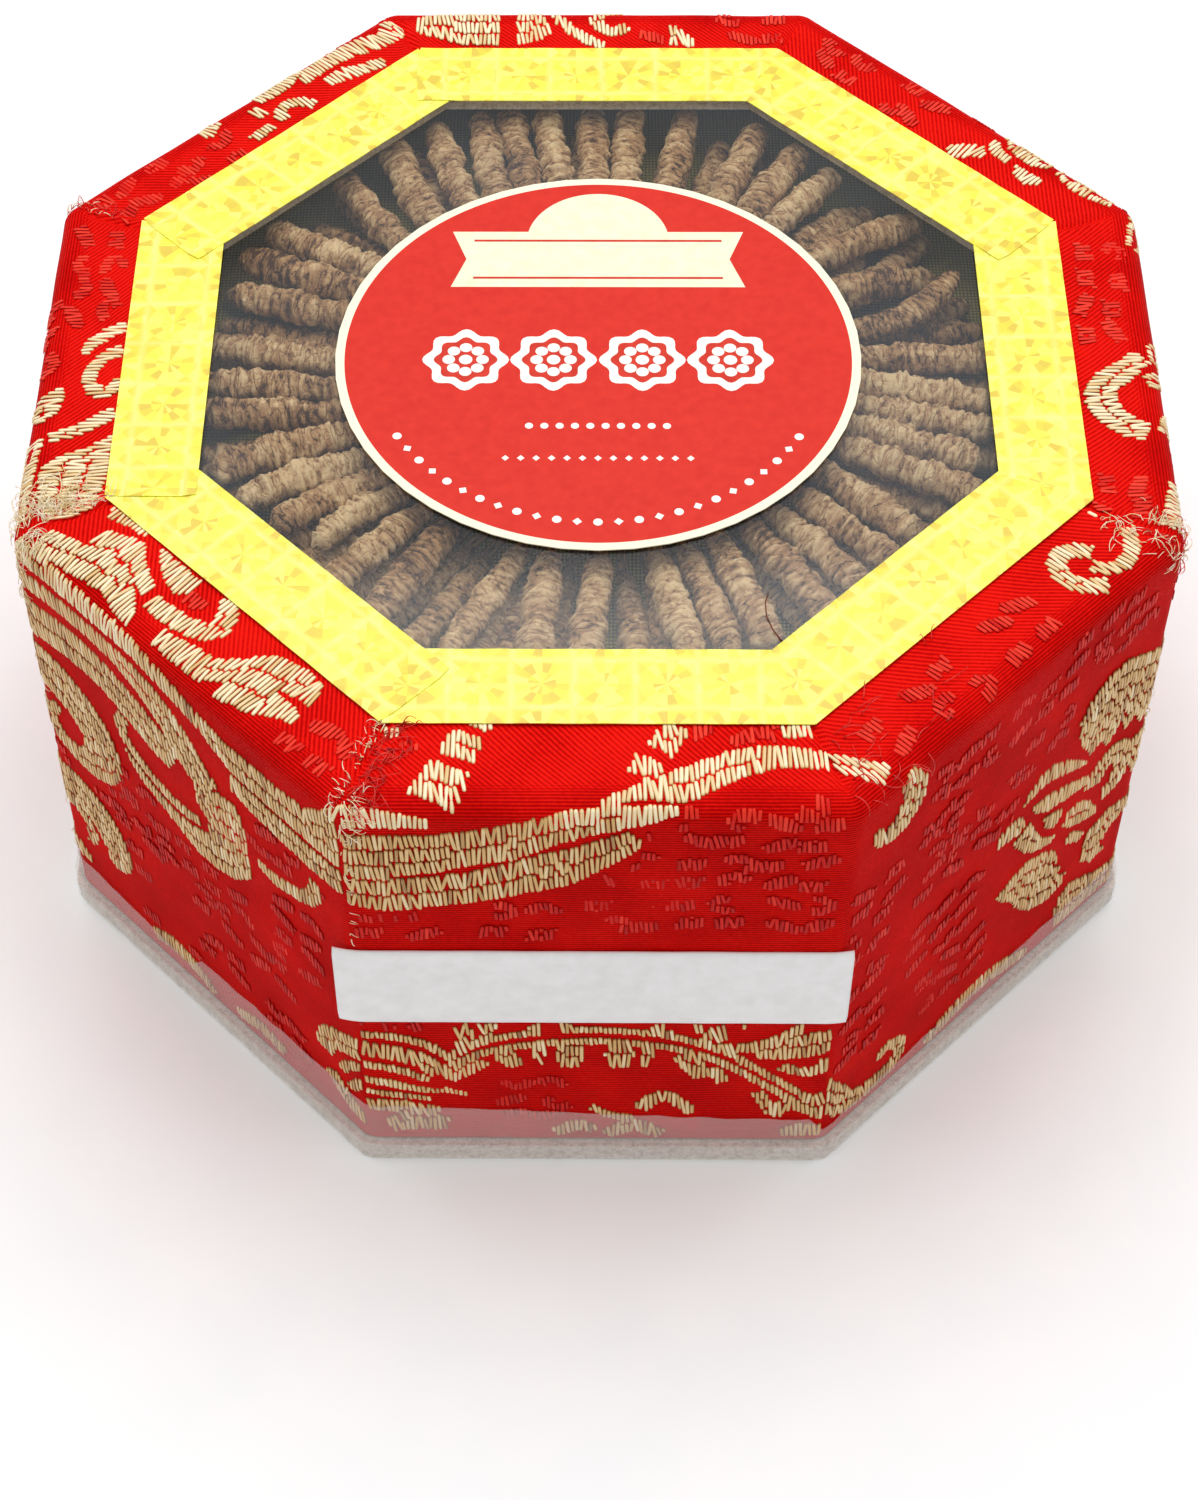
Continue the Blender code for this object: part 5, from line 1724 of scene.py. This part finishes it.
class GIFTBOX_OT_figures(bpy.types.Operator):
    """Gold and red thread figures woven into the cloth"""

    bl_idname = "giftbox.figures"
    bl_label = "Woven figures"

    def execute(self, context):
        settings = context.scene.gift_box_cover
        pitch, longest = settings.float_pitch / MM, settings.float_length / MM
        shape, tree = float_shape(), float_tree()
        gold, red = gold_floss(settings.gold), red_floss()
        threads = []
        drawn = designs()
        for face, angle in FACES.items():
            wall, rim, patches = drawn[face]
            rows = woven_rows(list(wall) + list(rim), face, longest, pitch, 100 + angle, 0.5)
            quiet = []
            for number, patch in enumerate(patches):
                quiet += cloud(*patch, seed=500 + angle + number)
            dim = woven_rows(quiet, face, RED_LONGEST, pitch, 300 + angle, 0.45)
            dim = [row for row in dim if not crowded(row, rows)]
            threads.append(weave("gold_figures", face, rows, tree, shape, gold, GOLD_LOFT))
            threads.append(weave("red_figures", face, dim, tree, shape, red, RED_LOFT))
        bpy.data.objects.remove(shape)
        for made in threads:
            fix(made, "red_brocade")
        gold = loose_thread("loose_gold_thread", "#E8CC8C", "#FFF6DC")
        red = loose_thread("loose_red_thread", "#B00A08", "#F03A2C")
        for name, frays, finish in (("gold_frays", GOLD_FRAYS, gold), ("red_frays", RED_FRAYS, red)):
            parts = []
            for number, fray in enumerate(frays):
                parts += frayed(*fray, seed=900 + number)
            points, faces = joined(parts)
            fix(piece(name, points, faces, finish), "red_brocade")
        return {"FINISHED"}


class GIFTBOX_OT_window(bpy.types.Operator):
    """Clear film, foil tape round it and the round label"""

    bl_idname = "giftbox.window"
    bl_label = "Window"

    def execute(self, context):
        coat("window_pane", clear_film())
        coat("round_label", label_paper())
        foil = gold_foil_tape()
        for number in range(1, 9):
            fix(foil_strip(number, foil), "gold_foil_tape", f"foil_strip_{number}")
        # One dark broken end lies on the film by the front right corner.
        end = [(22.6, -49.6), (21.6, -47.8), (20.9, -45.6), (20.8, -43.4), (21.3, -41.6)]
        points, faces = hair([(x, y + BACK, PANE_HIGH[2] + 0.12) for x, y in end], 0.13)
        fix(piece("stray_thread", points, faces, loose_thread("stray_dark_thread", "#3A0A0C", "#7A1A1C")),
            "red_brocade")
        for name, finish, shapes in label_prints():
            points, faces = joined(shapes)
            made = piece(name, points, faces, finish, smooth=False, tidy=True)
            fix(made, "label_paper")
        return {"FINISHED"}


class GIFTBOX_OT_tapes(bpy.types.Operator):
    """Blank paper strip on the front and clear tape round the foot"""

    bl_idname = "giftbox.tapes"
    bl_label = "Strip and tape"

    def execute(self, context):
        fix(paper_strip(), "strip_paper", "strip_label")
        fix(seal_tape(), "clear_tape", "seal_tape")
        return {"FINISHED"}


class GIFTBOX_OT_filling(bpy.types.Operator):
    """Silk cushion and the cordyceps on it"""

    bl_idname = "giftbox.filling"
    bl_label = "Filling"

    def execute(self, context):
        settings = context.scene.gift_box_filling
        cushion = silk_cushion()
        fix(cushion, "gold_silk", "cushion")
        finish = dried_husk("dried_husk", "#4E301A", settings.husk, "#EAC894")
        for number in range(1, 43):
            stops = centreline(f"cordyceps_{number:02d}")
            look = LOOKS.get(number, USUAL)
            seed = settings.seed * 100 + number
            parts = [husk(stops, seed, look), stalk(stops, seed, look[2])]
            made = husk_piece(f"dried_cordyceps_{number:02d}", parts, finish)
            fix(made, "dried_husk", f"cordyceps_{number:02d}")
        parts = []
        random = np.random.default_rng(settings.seed)
        for number in range(settings.lower_count):
            stops = lower_stops(number, settings.lower_count, random)
            wrinkle, lumps, tone, legs, pinch = (USUAL, RIDGED, ROUGH_DARK, USUAL)[number % 4]
            look = (wrinkle, lumps, tone - 0.06, legs, pinch)  # a little darker, in the others' shade
            parts += [husk(stops, 4000 + number, look, 14, 3.4), stalk(stops, 4000 + number, look[2])]
        fix(husk_piece("lower_cordyceps", parts, finish), "lower_layers", "cordyceps_bed")
        return {"FINISHED"}


class GIFTBOX_PT_panel(bpy.types.Panel):
    """Lists the gift box's pieces and their settings"""

    bl_label = "Gift Box"
    bl_space_type = "VIEW_3D"
    bl_region_type = "UI"
    bl_category = "Gift Box"

    def draw(self, context):
        layout = self.layout
        for operator in OPERATORS:
            layout.operator(operator.bl_idname)
        scene = context.scene
        for group in (scene.gift_box_cover, scene.gift_box_filling, scene.gift_box_stage):
            for key in group.bl_rna.properties.keys():
                if key not in ("rna_type", "name"):
                    layout.prop(group, key)


OPERATORS = (
    GIFTBOX_OT_stage,
    GIFTBOX_OT_boards,
    GIFTBOX_OT_cover,
    GIFTBOX_OT_figures,
    GIFTBOX_OT_window,
    GIFTBOX_OT_tapes,
    GIFTBOX_OT_filling,
)
GROUPS = (GiftBoxCover, GiftBoxFilling, GiftBoxStage)


def register():
    """Adds the classes and the settings to the scene."""
    for made in GROUPS + OPERATORS + (GIFTBOX_PT_panel,):
        bpy.utils.register_class(made)
    bpy.types.Scene.gift_box_cover = bpy.props.PointerProperty(type=GiftBoxCover)
    bpy.types.Scene.gift_box_filling = bpy.props.PointerProperty(type=GiftBoxFilling)
    bpy.types.Scene.gift_box_stage = bpy.props.PointerProperty(type=GiftBoxStage)


def unregister():
    """Takes them away again."""
    del bpy.types.Scene.gift_box_stage
    del bpy.types.Scene.gift_box_filling
    del bpy.types.Scene.gift_box_cover
    for made in reversed(GROUPS + OPERATORS + (GIFTBOX_PT_panel,)):
        bpy.utils.unregister_class(made)


def main():
    """Makes every piece round the frame."""
    register()
    bpy.ops.giftbox.stage()
    bpy.ops.giftbox.boards()
    bpy.ops.giftbox.cover()
    bpy.ops.giftbox.figures()
    bpy.ops.giftbox.window()
    bpy.ops.giftbox.tapes()
    bpy.ops.giftbox.filling()


if __name__ == "__main__":
    main()
